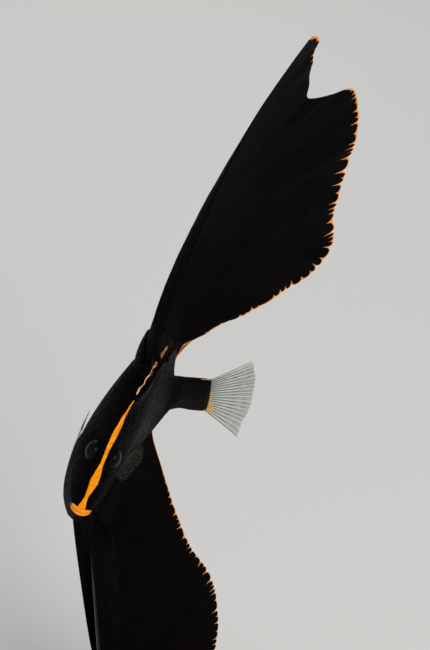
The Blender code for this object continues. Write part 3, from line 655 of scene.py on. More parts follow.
def clear_fin(name, thin, thick):
    """See-through skin of the tail or breast fins, greenish grey, with gold at the root of the tail fin."""
    made = Finish(name, Specular_IOR_Level=0.35)
    place_in_fin = made.split(made.attribute("ray"))
    streaks = made.streaks(*place_in_fin[:2], 5.0, 5.0)
    tone = made.blend(made.remap(streaks, 0.35, 0.65), (0.115, 0.150, 0.105), (0.235, 0.265, 0.200))
    look = see_through(made, tone, *place_in_fin, made.remap(streaks, 0.30, 0.70, thin, thick))
    pores = made.noise(made.attribute("fish"), 300.0, 2.0)
    relief = made.bump(streaks, 0.00006, 0.6, made.bump(pores, 0.00003, 0.4))
    return made.show(**look, Normal=relief, Roughness=made.remap(streaks, 0.3, 0.7, 0.26, 0.42))


def clear_ray(name, body):
    """Rays of the see-through fins: greenish horn, jointed across."""
    made = Finish(name, Specular_IOR_Level=0.30, Roughness=0.45)
    place_in_fin = made.split(made.attribute("ray"))
    joints = made.math("SINE", made.times(place_in_fin[1], 330.0))
    tone = made.blend(made.remap(joints, -0.2, 0.9), (0.120, 0.130, 0.085), (0.300, 0.320, 0.240))
    look = see_through(made, tone, *place_in_fin, made.remap(joints, -0.4, 1.0, body * 0.9, body))
    return made.show(**look, Normal=made.bump(made.remap(joints, -1.0, 1.0), 0.00003, 0.6))


def orange_lip():
    """Lips: fleshy orange with small creases across them."""
    made = Finish("orange_lip", Specular_IOR_Level=0.25)
    fish = made.attribute("fish")
    across, away, _ = made.split(made.attribute("lip"))
    creases = made.noise(made.join(made.times(across, 30.0), 0.0), 1.0)
    colour = made.blend(made.remap(creases, 0.50, 0.75, 0.0, 0.6), orange_pattern(made, fish), DEEP_ORANGE)
    colour = made.blend(made.remap(away, 0.80, 1.02), colour, BLACK)
    relief = made.bump(creases, 0.00012, 0.7, made.bump(made.noise(fish, 400.0, 2.0), 0.00004, 0.5))
    return made.show(Base_Color=colour, Roughness=made.remap(creases, 0.3, 0.7, 0.36, 0.50), Normal=relief)


def wet_eye():
    """Eye: black pupil and a dark brown iris with a thin gold edge, under a clear wet cornea."""
    made = Finish("wet_eye", Roughness=0.28, Specular_IOR_Level=0.03, Coat_Weight=0.07, Coat_Roughness=0.04)
    across, _, up = made.split(made.attribute("eye"))
    radius = made.math("SQRT", made.plus(made.times(across, across), made.times(up, up)))
    turn = made.times(made.math("ARCTAN2", up, across), 7.0)
    fibres = made.noise(made.join(turn, made.times(radius, 2.0)), 1.0)
    iris = made.blend(made.remap(fibres, 0.35, 0.70), (0.003, 0.0025, 0.002), (0.009, 0.005, 0.003))
    iris = made.blend(made.remap(radius, 0.62, 0.76), iris, (0.003, 0.0025, 0.003))
    edge = made.times(made.remap(radius, 0.405, 0.425), made.remap(radius, 0.475, 0.44))
    iris = made.blend(edge, iris, (0.035, 0.017, 0.005))
    return made.show(Base_Color=made.blend(made.remap(radius, 0.41, 0.395), iris, (0.0015, 0.0015, 0.002)))


def base_walnut():
    """Turned walnut of the base, oiled, with its grain along one way."""
    made = Finish("base_walnut", Specular_IOR_Level=0.42, Coat_Weight=0.22, Coat_Roughness=0.22)
    sway_of_grain = made.noise(made.object_point((5.0, 16.0, 16.0)), 1.0, 2.0)
    _, y, z = made.split(made.object_point())
    off = [made.math("POWER", made.minus(at, middle), 2.0) for at, middle in zip((y, z), WOOD_HEART)]
    heart = made.math("SQRT", made.plus(*off))
    rings = made.math("SINE", made.math("MULTIPLY_ADD", heart, WOOD_RINGS, made.times(sway_of_grain, 5.0)))
    broad = made.noise(made.object_point((14.0, 90.0, 90.0)), 1.0, 4.0)
    fibre = made.noise(made.object_point((110.0, 2600.0, 2600.0)), 1.0, 3.0, 0.7)
    wood = made.blend(made.remap(rings, -0.8, 0.9), (0.135, 0.064, 0.031), (0.095, 0.042, 0.020))
    wood = made.blend(made.remap(broad, 0.40, 0.68, 0.0, 0.7), wood, (0.215, 0.115, 0.058))
    wood = made.blend(made.remap(fibre, 0.55, 0.72, 0.0, 0.75), wood, (0.035, 0.014, 0.008))
    relief = made.bump(fibre, 0.00010, 0.35, made.bump(made.remap(rings, -1.0, 1.0), 0.00005, 0.3))
    rough = made.remap(fibre, 0.35, 0.70, 0.34, 0.56)
    return made.show(Base_Color=wood, Roughness=rough, Normal=relief)


def black_steel():
    """Blackened steel of rod and collar, rubbed a little bright."""
    made = Finish("black_steel", Metallic=0.85, Specular_IOR_Level=0.5)
    brushed = made.noise(made.object_point((2400.0, 2400.0, 160.0)), 1.0, 3.0)
    cloud = made.noise(made.object_point((140.0, 140.0, 60.0)), 1.0, 3.0)
    colour = made.blend(made.remap(cloud, 0.45, 0.70), (0.010, 0.010, 0.011), (0.026, 0.025, 0.024))
    relief = made.bump(brushed, 0.00002, 0.5)
    return made.show(Base_Color=colour, Roughness=made.remap(brushed, 0.3, 0.7, 0.30, 0.46), Normal=relief)


def crest_half(x):
    """Half the width of the crest along the top and bottom of the body."""
    stretch = ((0.0, BROW_HALF), (CREST_FROM, BROW_HALF), (CREST_FULL, CREST_HALF), (1.0, CREST_HALF))
    return smooth(stretch, x)


def gill_relief(x, z):
    """Height of the gill cover over the flank."""
    reach = np.hypot((x - GILL_CENTRE[0]) / GILL_RADII[0], (z - GILL_CENTRE[1]) / GILL_RADII[1])
    rise = share(reach - GILL_FLAT, 1 - GILL_FLAT)
    cover = GILL_RISE * soft(rise) * share(1 + GILL_EDGE - reach, GILL_EDGE) * share(x - GILL_FROM, GILL_FADE)
    cheek = share(x - CHEEK_FROM, CHEEK_FADE) * share(CHEEK_TOP - z, CHEEK_TOP_FADE)
    at, width, depth = GILL_FOLD
    return cover - depth * bell(reach - at, width) * cheek


def metres_from(centre, x, z):
    """Distance in metres, in the side view, from a station and height of the fish."""
    return np.hypot(x - centre[0], z - centre[1]) * LENGTH


def head_relief(x, z):
    """Small forms of the head over the flank: the rim round the eye and the two nostrils."""
    height = 0.0
    for centre, forms, _ in HEAD_FORMS:
        off = metres_from(centre, x, z)
        height = height + sum(rise * bell(off - at, width) for at, rise, width in forms)
    return height / LENGTH


def body_edges(x):
    """Top and bottom of the skin at a station, and the share of the full width that it has there."""
    within = np.clip(x, HEAD_FRONT, TAIL_BASE_BACK)
    top, bottom = smooth(BACK, within) - COAT_DEPTH, smooth(BELLY, within) + COAT_DEPTH
    behind = share(x - TAIL_ROUND_FROM, TAIL_BASE_BACK - TAIL_ROUND_FROM)
    full = np.sqrt(1 - share(HEAD_FRONT - x, SNOUT_ROUND) ** 2)
    middle = (top + bottom) / 2
    half = (top - bottom) / 2 * full * (1 - TAIL_ROUND_CORNER * behind**2)
    return middle + half, middle - half, full * np.sqrt(1 - behind**2)


def crest_start(half):
    """Share of the half height from which the crest is rounded."""
    return 1 - np.minimum(CREST_ROUND, 0.6 * half) / half


def tail_lean(x, z):
    """How far back a point of the body lies because the rear end of the tail base leans."""
    middle = (smooth(BACK, TAIL_BASE_BACK) + smooth(BELLY, TAIL_BASE_BACK)) / 2
    return TAIL_LEAN * share(x - TAIL_LEAN_FROM, TAIL_BASE_BACK - TAIL_LEAN_FROM) * (middle - z)


def half_width(x, v):
    """Half the width of the body at a station and a share of its half height, without its small forms."""
    crest = crest_half(x)
    wedge, filling = FLANK_SHAPE
    within = np.clip(x, HEAD_FRONT, TAIL_BASE_BACK)
    return crest + (smooth(HALF_WIDTH, within) - crest) * (1 - np.abs(v) ** wedge) ** filling


def skin_point(x, v, way):
    """A straight-fish point of the skin: v runs from -1 at the belly to 1 at the back, way is the side."""
    top, bottom, full = body_edges(x)
    half = np.maximum((top - bottom) / 2, 1e-6)
    z = (top + bottom) / 2 + v * half
    wide = half_width(x, v) - COAT_DEPTH
    start = crest_start(half)
    over = share(np.abs(v) - start, 1 - start)
    y = ((wide + gill_relief(x, z)) * full + head_relief(x, z)) * np.sqrt(1 - over**2)
    return np.stack([x + tail_lean(x, z), way * y, z], axis=-1)


def skin_stations():
    """Stations of the skin's rings, close together round the snout and where the outline is steep."""
    turn = np.linspace(0, np.pi / 2, SNOUT_RINGS + 1)[1:-1]
    snout = HEAD_FRONT - SNOUT_ROUND * np.cos(turn)
    fine = np.linspace(HEAD_FRONT, TAIL_BASE_BACK, 2000)
    rise = np.abs(np.gradient(smooth(BACK, fine), fine)) + np.abs(np.gradient(smooth(BELLY, fine), fine))
    close = np.where(fine > TAIL_ROUND_FROM, 3.0, 1.0) + np.where((fine > 0.06) & (fine < 0.22), 0.7, 0.0)
    run = np.concatenate([[0], np.cumsum(np.diff(fine) * np.sqrt(1 + (rise[1:] / 3) ** 2) * close[1:])])
    return np.concatenate([snout, np.interp(np.linspace(0, run[-1], SKIN_STATIONS), run, fine)])


def build_skin(finish):
    """One skin from the snout to the rear end of the tail base."""
    rings = []
    for x in skin_stations():
        top, bottom, _ = body_edges(x)
        start = crest_start((top - bottom) / 2)
        arc = start + (1 - start) * np.cos(np.linspace(0, np.pi / 2, CREST_RINGS + 1))
        v = np.concatenate([arc[:-1], np.linspace(start, -start, FLANK_RINGS), -arc[:-1][::-1]])
        right = skin_point(np.full(len(v), x), v, 1)
        rings.append(np.concatenate([right, right[1:-1][::-1] * (1, -1, 1)]))
    rings = np.array(rings)
    count, around = rings.shape[:2]
    top, bottom, _ = body_edges(HEAD_FRONT - SNOUT_ROUND * 0.999)
    tip = np.array([[HEAD_FRONT - SNOUT_ROUND, 0.0, (top + bottom) / 2]])
    fish = np.concatenate([rings.reshape(-1, 3), tip])
    last = (count - 1) * around
    faces = ring_faces(count, around)
    faces += [(len(fish) - 1, (j + 1) % around, j) for j in range(around)]
    for j in range(around // 2):
        strip = (last + j, last + j + 1, last + around - 1 - j, last + (around - j) % around)
        faces.append(tuple(dict.fromkeys(strip)))
    mesh = face_out(mesh_of("fish_skin", place(fish), faces, fish=fish))
    finished(mesh, finish, ("head", "trunk", "caudal_peduncle"))


def scale_roots(way):
    """Straight-fish roots of the scales of one side, with their size and stand: rows run along the body."""
    tallest = smooth(BACK, 0.45) - smooth(BELLY, 0.45)
    fine = np.linspace(SCALES_FROM, SCALES_TO, 2000)
    top, bottom, _ = body_edges(fine)
    shrink = ((top - bottom) / tallest) ** SCALE_NARROWING
    run = np.concatenate([[0], np.cumsum(np.diff(fine) / (SCALE_STEP * shrink[1:]))])
    stations = np.interp(np.arange(0, run[-1]), run, fine)
    draw = np.random.default_rng(7 + way)
    found = []
    for number, x in enumerate(stations):
        top, bottom, _ = body_edges(x)
        middle, half = (top + bottom) / 2, (top - bottom) / 2
        size = (2 * half / tallest) ** SCALE_NARROWING
        rows = np.arange(-MOST_ROWS, MOST_ROWS + 1) + (0.5 if number % 2 else 0.0)
        v = rows * SCALE_ROW * size / half
        v = v[np.abs(v) < SCALE_EDGE]
        v = v + draw.normal(0, SCALE_STRAY, len(v)) * SCALE_ROW * size / half
        v = np.clip(v, -SCALE_EDGE, SCALE_EDGE)
        x_of = x + draw.normal(0, SCALE_STRAY, len(v)) * SCALE_STEP * size
        z = middle + v * half
        usual = size * (FACE_SCALE + (1 - FACE_SCALE) * share(x - FACE_FROM, FACE_SPAN))
        size_of = usual * draw.uniform(*SCALE_SIZES, len(v))
        line = np.abs(z - smooth(LATERAL_LINE, x)) < SCALE_ROW * size * LINE_HALF
        stand = np.where(line & (x > LATERAL_LINE[0][0]), LINE_STAND, 1.0)
        found.append(np.stack([x_of, v, z, size_of, stand], axis=1))
    found = np.concatenate(found)
    x, z = found[:, 0], found[:, 2]
    (x0, z0), (first, last) = PECTORAL_ROOT, BREAST_BARE
    bare = x + SNOUT_BARE_SKEW * np.abs(z) <= SNOUT_BARE
    bare |= (np.abs(z - z0) <= BREAST_BARE_HALF) & (x >= x0 + first) & (x <= x0 + last)
    for centre, _, reach in HEAD_FORMS:
        bare |= metres_from(centre, x, z) <= reach
    return found[~bare]


def scale_shape():
    """One scale a unit long, lying back along +X, with its root sunk and its rear edge a little raised."""
    outline = np.array([(-0.20, 0.0, -0.10), (-0.08, 0.30, -0.09), (0.28, 0.47, -0.02), (0.62, 0.40, 0.03),
                        (0.86, 0.20, 0.055), (0.92, 0.0, 0.060)])
    ring = np.concatenate([outline, outline[-2:0:-1] * (1, -1, 1)])
    points = np.concatenate([ring, [(0.34, 0.0, 0.085), (0.34, 0.0, -0.075)]])
    count = len(ring)
    faces = []
    for i in range(count):
        faces += [(count, (i + 1) % count, i), (count + 1, i, (i + 1) % count)]
    return face_out(mesh_of("scale_shape", points, faces)), points


def grow_tree(name, inputs):
    """An empty Geometry Nodes tree with a geometry input, the named inputs and a geometry output."""
    tree = bpy.data.node_groups.new(name, "GeometryNodeTree")
    tree.interface.new_socket("Geometry", in_out="INPUT", socket_type="NodeSocketGeometry")
    for label, kind in inputs.items():
        tree.interface.new_socket(label, in_out="INPUT", socket_type="NodeSocket" + kind)
    tree.interface.new_socket("Geometry", in_out="OUTPUT", socket_type="NodeSocketGeometry")
    given = tree.nodes.new("NodeGroupInput").outputs
    return tree, given, tree.nodes.new("NodeGroupOutput").inputs["Geometry"]


def tree_node(tree, kind, sockets=None, **settings):
    """A Geometry Nodes node, with each of its inputs set or fed."""
    made = tree.nodes.new(kind)
    for key, value in settings.items():
        setattr(made, key, value)
    for key, value in (sockets or {}).items():
        if isinstance(value, bpy.types.NodeSocket):
            tree.links.new(value, made.inputs[key])
        else:
            made.inputs[key].default_value = value
    return made


def named(tree, name, kind="FLOAT"):
    """A named number or vector of the geometry."""
    read = tree_node(tree, "GeometryNodeInputNamedAttribute", {"Name": name}, data_type=kind)
    return read.outputs["Attribute"]


def grown(mesh, tree, values):
    """The plain mesh that a Geometry Nodes tree makes of another one, which it takes the place of."""
    carrier = added(mesh.name, mesh)
    modifier = carrier.modifiers.new("grow", "NODES")
    modifier.node_group = tree
    for item in tree.interface.items_tree:
        if item.in_out == "INPUT" and item.name in values:
            modifier[item.identifier] = values[item.name]
    depsgraph = bpy.context.evaluated_depsgraph_get()
    made = bpy.data.meshes.new_from_object(carrier.evaluated_get(depsgraph), preserve_all_data_layers=True,
                                           depsgraph=depsgraph)
    name = mesh.name
    bpy.data.objects.remove(carrier)
    bpy.data.meshes.remove(mesh)
    made.name = name
    return made


def end_tree(tree, geometry, given, result):
    """Ends a tree: everything made real, in the finish that is given."""
    real = tree_node(tree, "GeometryNodeRealizeInstances", {"Geometry": geometry})
    dressed = tree_node(tree, "GeometryNodeSetMaterial",
                        {"Geometry": real.outputs[0], "Material": given["Finish"]})
    tree.links.new(dressed.outputs[0], result)
    return tree


def scale_tree():
    """Sets a scale on every root, lying back along the body, as large as the root says."""
    inputs = {"Scale Shape": "Object", "Length": "Float", "Finish": "Material"}
    tree, given, result = grow_tree("scales", inputs)
    shape = tree_node(tree, "GeometryNodeObjectInfo", {"Object": given["Scale Shape"]},
                      transform_space="ORIGINAL")
    lie = tree_node(tree, "FunctionNodeAxesToRotation",
                    {"Primary Axis": named(tree, "outward", "FLOAT_VECTOR"),
                     "Secondary Axis": named(tree, "rearward", "FLOAT_VECTOR")},
                    primary_axis="Z", secondary_axis="X")
    size = tree_node(tree, "ShaderNodeVectorMath", {0: named(tree, "size", "FLOAT_VECTOR"),
                                                    "Scale": given["Length"]}, operation="SCALE")
    set_out = tree_node(tree, "GeometryNodeInstanceOnPoints",
                        {"Points": given["Geometry"], "Instance": shape.outputs["Geometry"],
                         "Rotation": lie.outputs[0], "Scale": size.outputs[0]})
    return end_tree(tree, set_out.outputs[0], given, result)


def unit(vectors):
    """Vectors of length 1."""
    return vectors / np.linalg.norm(vectors, axis=-1, keepdims=True)


def build_scales(finish):
    """The coat of small overlapping scales, one piece for each side."""
    tree = scale_tree()
    shape_mesh, shape_points = scale_shape()
    shape = added("scale_shape", shape_mesh)
    step = 1e-3
    for side, way in (("left", -1), ("right", 1)):
        roots = scale_roots(way)
        x, v, _, size, stand = roots.T
        fish = skin_point(x, v, way)
        back_fish = unit(skin_point(x + step, v, way) - fish)
        up_fish = unit(skin_point(x, np.clip(v + step, -1, 1), way) - fish)
        out_fish = unit(np.cross(back_fish, up_fish)) * -way
        here = place(fish)
        back = unit(place(fish + back_fish * step) - here)
        out = unit(place(fish + out_fish * step) - here)
        out = unit(out - back * (out * back).sum(axis=1, keepdims=True))
        scale = np.stack([size, size * SCALE_WIDTH, size * stand], axis=1)
        mesh = mesh_of("scale_coat_" + side, here, [], outward=out, rearward=back, size=scale)
        values = {"Scale Shape": shape, "Length": SCALE_LENGTH * LENGTH, "Finish": finish.material}
        made = grown(mesh, tree, values)
        for layer in {"outward", "rearward", "size"} & set(made.attributes.keys()):
            made.attributes.remove(made.attributes[layer])
        across_fish = np.cross(out_fish, back_fish)
        local = shape_points[None] * scale[:, None] * SCALE_LENGTH
        spread = (fish[:, None] + local[..., :1] * back_fish[:, None] + local[..., 1:2] * across_fish[:, None]
                  + local[..., 2:] * out_fish[:, None])
        give(made, "fish", spread.reshape(-1, 3))
        own = np.empty(spread.shape)
        own[..., :2] = shape_points[:, :2]
        own[..., 2] = np.random.default_rng(3).uniform(0, 1, len(fish))[:, None]
        give(made, "scale", own.reshape(-1, 3))
        unwrap(made, fish, shape_points)
        finished(made, finish)
    bpy.data.objects.remove(shape)


def unwrap(mesh, roots, shape_points):
    """Map of a coat: each scale is a small patch at its root's place on the flattened flank."""
    low, high = np.array([0.0, -0.45]), np.array([1.0, 0.57])
    centre = 0.02 + 0.96 * (roots[:, [0, 2]] - low) / (high - low)
    patch = centre[:, None] + (shape_points[None, :, :2] - (0.36, 0.0)) * 0.003
    corner = np.zeros(len(mesh.loops), np.int32)
    mesh.loops.foreach_get("vertex_index", corner)
    layer = mesh.uv_layers.get("OFBake") or mesh.uv_layers.new(name="OFBake")
    layer.data.foreach_set("uv", patch.reshape(-1, 2)[corner].astype(np.float32).ravel())


def nearest_on(line, points):
    """Distance from each point to a line of points, and its place along that line in points."""
    best, place_on = np.full(len(points), np.inf), np.zeros(len(points))
    for i, (start, step) in enumerate(zip(line[:-1], np.diff(line, axis=0))):
        t = np.clip((points - start) @ step / max(step @ step, 1e-18), 0, 1)
        gap = np.linalg.norm(points - start - t[:, None] * step, axis=1)
        nearer = gap < best
        best[nearer], place_on[nearer] = gap[nearer], i + t[nearer]
    return best, place_on


def tooth_number(run_mm):
    """Teeth counted along a margin, unevenly spaced."""
    drift = (teeth * np.sin(2 * np.pi * run_mm / over + start) for teeth, over, start in TOOTH_DRIFT)
    return run_mm / TOOTH_PITCH_MM + sum(drift)


def hem_on(margin, table):
    """Teeth counted along a margin, and there, in mm, the hem's width and its teeth's length and depth."""
    run = run_along(margin) * LENGTH * 1000
    stops, width, reach, notch = np.array(table, float).T
    at = run / run[-1]
    number = tooth_number(run)
    nearest = np.round(number).astype(int) - int(number.min()) + 1
    own = np.random.default_rng(5).uniform(0, 1, nearest.max() + 1)[nearest]
    beside = np.clip(1 - 2 * np.abs(number - np.round(number)), 0, 1)
    deep = NOTCH_MM * np.interp(at, stops, notch) * (NOTCH_LEAST + (1 - NOTCH_LEAST) * own**1.6) * beside**2
    length = np.interp(at, stops, reach) * (TOOTH_LEAST + TOOTH_MORE * own)
    return number, np.interp(at, stops, width), length, deep


def fin_places(number, out):
    """For each point of a fin's grid its ray's number and its share of the way out, and a third number, 0."""
    far, ray = np.meshgrid(out, number, indexing="ij")
    return np.stack([ray, far, np.zeros(ray.shape)], axis=2)


def median_surface(kind, grid, root, outline, edge, lean, hem, root_z=None):
    """Middle surface of a fin in the side view, notched along its margin, with its hem and place in the fin.

    root gives the station where a ray starts for its share along the margin."""
    rays, steps, rows = grid
    columns = (rays - 1) * steps + 1
    x = np.interp(np.linspace(0, 1, columns), *np.array(root).T)
    step = 1e-3
    slope = (smooth(edge, x + step) - smooth(edge, x - step)) / (2 * step)
    normal = unit(np.stack([-slope, np.ones(columns)], axis=1)) * lean
    roots = np.stack([x, smooth(edge, x)], axis=1) - normal * FIN_SUNK
    if root_z is not None:
        roots = np.stack([x, smooth(edge, x) + root_z], axis=1)
    margin = curve_through(outline, columns)
    chord = margin - roots
    ahead = np.stack([-np.abs(chord[:, 1]), chord[:, 0] * lean], axis=1) * RAY_ARCH[kind]
    control = (roots + margin) / 2 + 2 * ahead
    out = 1 - (1 - np.linspace(0, 1, rows)) ** MARGIN_CROWDING
    t = out[:, None, None]
    flat = (1 - t) ** 2 * roots + 2 * t * (1 - t) * control + t * t * margin
    number, width, reach, deep = hem_on(margin, hem)
    along = unit(np.gradient(margin, axis=0))
    inward = np.stack([along[:, 1], -along[:, 0]], axis=1)
    inward *= np.sign((inward * (roots - margin)).sum(axis=1).mean())
    rear = flat[-2::-1, -1]
    edge_line = np.concatenate([margin, rear])
    away, at = nearest_on(edge_line, flat.reshape(-1, 2))
    away *= LENGTH * 1000
    beyond = [np.concatenate([value, np.full(len(rear), last)]) for value, last in
              ((number, number[-1]), (width, width[-1]), (reach, 0.0), (deep, 0.0))]
    number, width, reach, deep = (np.interp(at, np.arange(len(edge_line)), value) for value in beyond)
    pushed = deep * np.clip(1 - away / NOTCH_REACH_MM, 0, 1)
    direction = np.stack([np.interp(at, np.arange(columns), inward[:, k]) for k in range(2)], axis=1)
    flat = flat + (direction * pushed[:, None] / (LENGTH * 1000)).reshape(flat.shape)
    hem = np.stack([np.maximum(away + pushed - deep, 0), number, reach], axis=1)
    layers = {"hem": hem.reshape(rows, columns, 3), "rim": width.reshape(rows, columns),
              "ray": fin_places(np.arange(columns) / steps, out)}
    return flat, out, layers


def ripple(kind, ray):
    """Soft folds of a fin's skin, growing to its margin, in fractions of the fish's length."""
    number, out = ray[..., 0], ray[..., 1]
    amount, wave = RIPPLE[kind]
    waves = (high * np.sin(2 * np.pi * number / (wave * long) + start) for high, long, start in RIPPLE_WAVES)
    return amount * sum(waves) * out**2


def fin_half(out, ray, root, thin, ridge):
    """Half the thickness of a fin: fleshy at the root, thin at the margin, with a low ridge on each ray."""
    near = np.abs(ray - np.round(ray))
    base = thin * (1.25 - 0.45 * out) + ridge * (1 - 0.7 * out) * bell(near, RIDGE_HALF)
    swell = np.clip(1 - out / FLESH_REACH, 0, 1) ** 2
    rounded = np.sqrt(np.clip((1 - out) / EDGE_ROUND, EDGE_LEAST, 1))
    return (base + (root - base) * swell) * rounded


def fin_shell(name, middle, half, side, layers):
    """A closed thin fin from its middle surface, with what its points carry."""
    rows, columns = middle.shape[:2]
    fish = np.concatenate([(middle + half[..., None] / LENGTH * np.array(side) * way).reshape(-1, 3)
                           for way in (1, -1)])
    other = rows * columns
    i, j = np.meshgrid(np.arange(rows - 1), np.arange(columns - 1), indexing="ij")
    a = (i * columns + j).ravel()
    quads = np.stack([a, a + 1, a + columns + 1, a + columns], axis=1)
    faces = np.concatenate([quads, quads[:, ::-1] + other]).tolist()
    rim = list(range(columns))
    rim += [i * columns + columns - 1 for i in range(1, rows)]
    rim += [(rows - 1) * columns + j for j in range(columns - 2, -1, -1)]
    rim += [i * columns for i in range(rows - 2, 0, -1)]
    faces += [(b, a, a + other, b + other) for a, b in zip(rim, rim[1:] + rim[:1])]
    carried = {key: np.concatenate([value.reshape(other, -1).squeeze()] * 2) for key, value in layers.items()}
    return face_out(mesh_of(name, place(fish), faces, fish=fish, **carried))


def sample(field, row, column):
    """Values of a grid between its rows and columns."""
    rows, columns = field.shape[:2]
    row, column = np.clip(row, 0, rows - 1), np.clip(column, 0, columns - 1)
    i, j = np.minimum(row.astype(int), rows - 2), np.minimum(column.astype(int), columns - 2)
    extra = (...,) + (None,) * (field.ndim - 2)
    s, t = (row - i)[extra], (column - j)[extra]
    return ((field[i, j] * (1 - t) + field[i, j + 1] * t) * (1 - s)
            + (field[i + 1, j] * (1 - t) + field[i + 1, j + 1] * t) * s)


def ray_lines(name, middle, out, grid, layers, thick, spines, start):
    """Lines of the fin rays and their branches on a fin's middle surface, as loose edges."""
    rays, steps, rows = grid
    radius, thinnest = thick
    carried = {key: [] for key in ("fish", "thick", *layers)}
    edges, first = [], 0
    for ray in range(rays):
        paths = [(start, *SPINE)] if ray < spines else [(start, *RAY_STEM), *RAY_FORKS]
        for begin, end, before, after, count, level in paths:
            at = np.linspace(begin, end, count)
            row = np.interp(at, out, np.arange(rows))
            column = (ray + np.linspace(before, after, count)) * steps
            edges += [(first + k, first + k + 1) for k in range(count - 1)]
            first += count
            level *= EDGE_RAY_SHARE if ray == 0 else 1.0
            carried["thick"].append((radius + (thinnest - radius) * at ** 0.8) * level)
            for key, field in {"fish": middle, **layers}.items():
                carried[key].append(sample(field, row, column))
    carried = {key: np.concatenate(values) for key, values in carried.items()}
    return mesh_of(name, place(carried["fish"]), [], edges, **carried)


def ray_tree():
    """Turns the lines of a fin's rays into fine tapered tubes."""
    tree, given, result = grow_tree("rays", {"Sides": "Int", "Finish": "Material"})
    line = tree_node(tree, "GeometryNodeMeshToCurve", {"Mesh": given["Geometry"]})
    thick = named(tree, "thick")
    sized = tree_node(tree, "GeometryNodeSetCurveRadius", {"Curve": line.outputs[0], "Radius": thick})
    profile = tree_node(tree, "GeometryNodeCurvePrimitiveCircle",
                        {"Resolution": given["Sides"], "Radius": 1.0})
    tube = tree_node(tree, "GeometryNodeCurveToMesh", {"Curve": sized.outputs[0], "Fill Caps": True,
                                                       "Profile Curve": profile.outputs[0]})
    if "Scale" in tube.inputs:
        tree.links.new(thick, tube.inputs["Scale"])
    return end_tree(tree, tube.outputs[0], given, result)


def build_fin(node, kind, middle, out, grid, layers, looks, side=(0.0, 1.0, 0.0)):
    """A fin's skin over its middle surface, and the tubes of its rays.

    looks are the finishes of skin and rays, the slot, which is not used, and the tree that makes the tubes."""
    flesh, ray_thick, spines, start = FIN_BUILD[kind]
    skin, horn, slot, tree = looks
    half = fin_half(layers["ray"][..., 1], layers["ray"][..., 0], *flesh)
    finished(fin_shell(node + "_skin", middle, half, side, layers), skin, (node,))
    lines = ray_lines(node + "_rays", middle, out, grid, layers, ray_thick, spines, start)
    made = grown(lines, tree, {"Sides": RAY_SIDES, "Finish": horn.material})
    made.attributes.remove(made.attributes["thick"])
    finished(face_out(made), horn)


def build_median_fin(kind, grid, root, outline, edge, lean, hem, looks):
    """The dorsal or the anal fin and its rays."""
    flat, out, layers = median_surface(kind, grid, root, outline, edge, lean, hem)
    middle = np.stack([flat[..., 0], ripple(kind, layers["ray"]), flat[..., 1]], axis=-1)
    build_fin(kind + "_fin", "median", middle, out, grid, layers, looks)


def build_pelvic_fin(side, way, looks):
    """A pelvic fin: a long blade from under the belly beside the crest."""
    flat, out, layers = median_surface(side, PELVIC_GRID, PELVIC_ROOT, PELVIC_MARGIN, BELLY, -1, NO_HEM,
                                       PELVIC_ROOT_Z)
    far = layers["ray"][..., 1]
    y = way * (PELVIC_Y + PELVIC_SPLAY[side] * far * (2 - far)) + ripple("pelvic", layers["ray"])
    middle = np.stack([flat[..., 0], y, flat[..., 1]], axis=-1)
    build_fin("pelvic_fin_" + side, "pelvic", middle, out, PELVIC_GRID, layers, looks)


def fan(grid, length, spread, root_half, rounding, uneven=0.0, lean=0.0):
    """A fan in its own plane, with its root across out = 0, and the places of its points in it."""
    rays, steps, rows = grid
    columns = (rays - 1) * steps + 1
    across = np.linspace(1, -1, columns)
    angle = np.radians(spread) * across
    reach = length * (1 - rounding * across**2) * (1 - uneven * across)
    number = np.arange(columns) / steps
    reach = reach - FAN_SCALLOP * np.abs(np.sin(np.pi * number)) ** 0.7
    roots = np.stack([-lean * root_half * across, root_half * across], axis=1)
    tips = roots + np.stack([reach * np.cos(angle), reach * np.sin(angle)], axis=1)
    out = np.linspace(0, 1, rows)
    t = out[:, None, None]
    return roots * (1 - t) + tips * t, out, fin_places(number, out)


def build_caudal_fin(looks):
    """The see-through tail fin on the rear end of the tail base, and its rays."""
    top, bottom = float(smooth(BACK, TAIL_BASE_BACK)), float(smooth(BELLY, TAIL_BASE_BACK))
    root_half = (top - bottom) / 2 - CAUDAL_INSET
    flat, out, ray = fan(CAUDAL_GRID, CAUDAL_LENGTH + FAN_SUNK, CAUDAL_SPREAD, root_half, CAUDAL_ROUND,
                         CAUDAL_UNEVEN, TAIL_LEAN)
    x = TAIL_BASE_BACK - FAN_SUNK + flat[..., 0]
    droop = math.tan(math.radians(CAUDAL_DROOP))
    z = (top + bottom) / 2 + flat[..., 1] - droop * (flat[..., 0] - flat[0, :, 0])
    middle = np.stack([x, ripple("caudal", ray), z], axis=-1)
    ray[..., 2] = share(ray[..., 0] / ray[..., 0].max() - GOLD_FROM, GOLD_SPAN)
    build_fin("caudal_fin", "caudal", middle, out, CAUDAL_GRID, {"ray": ray}, looks)


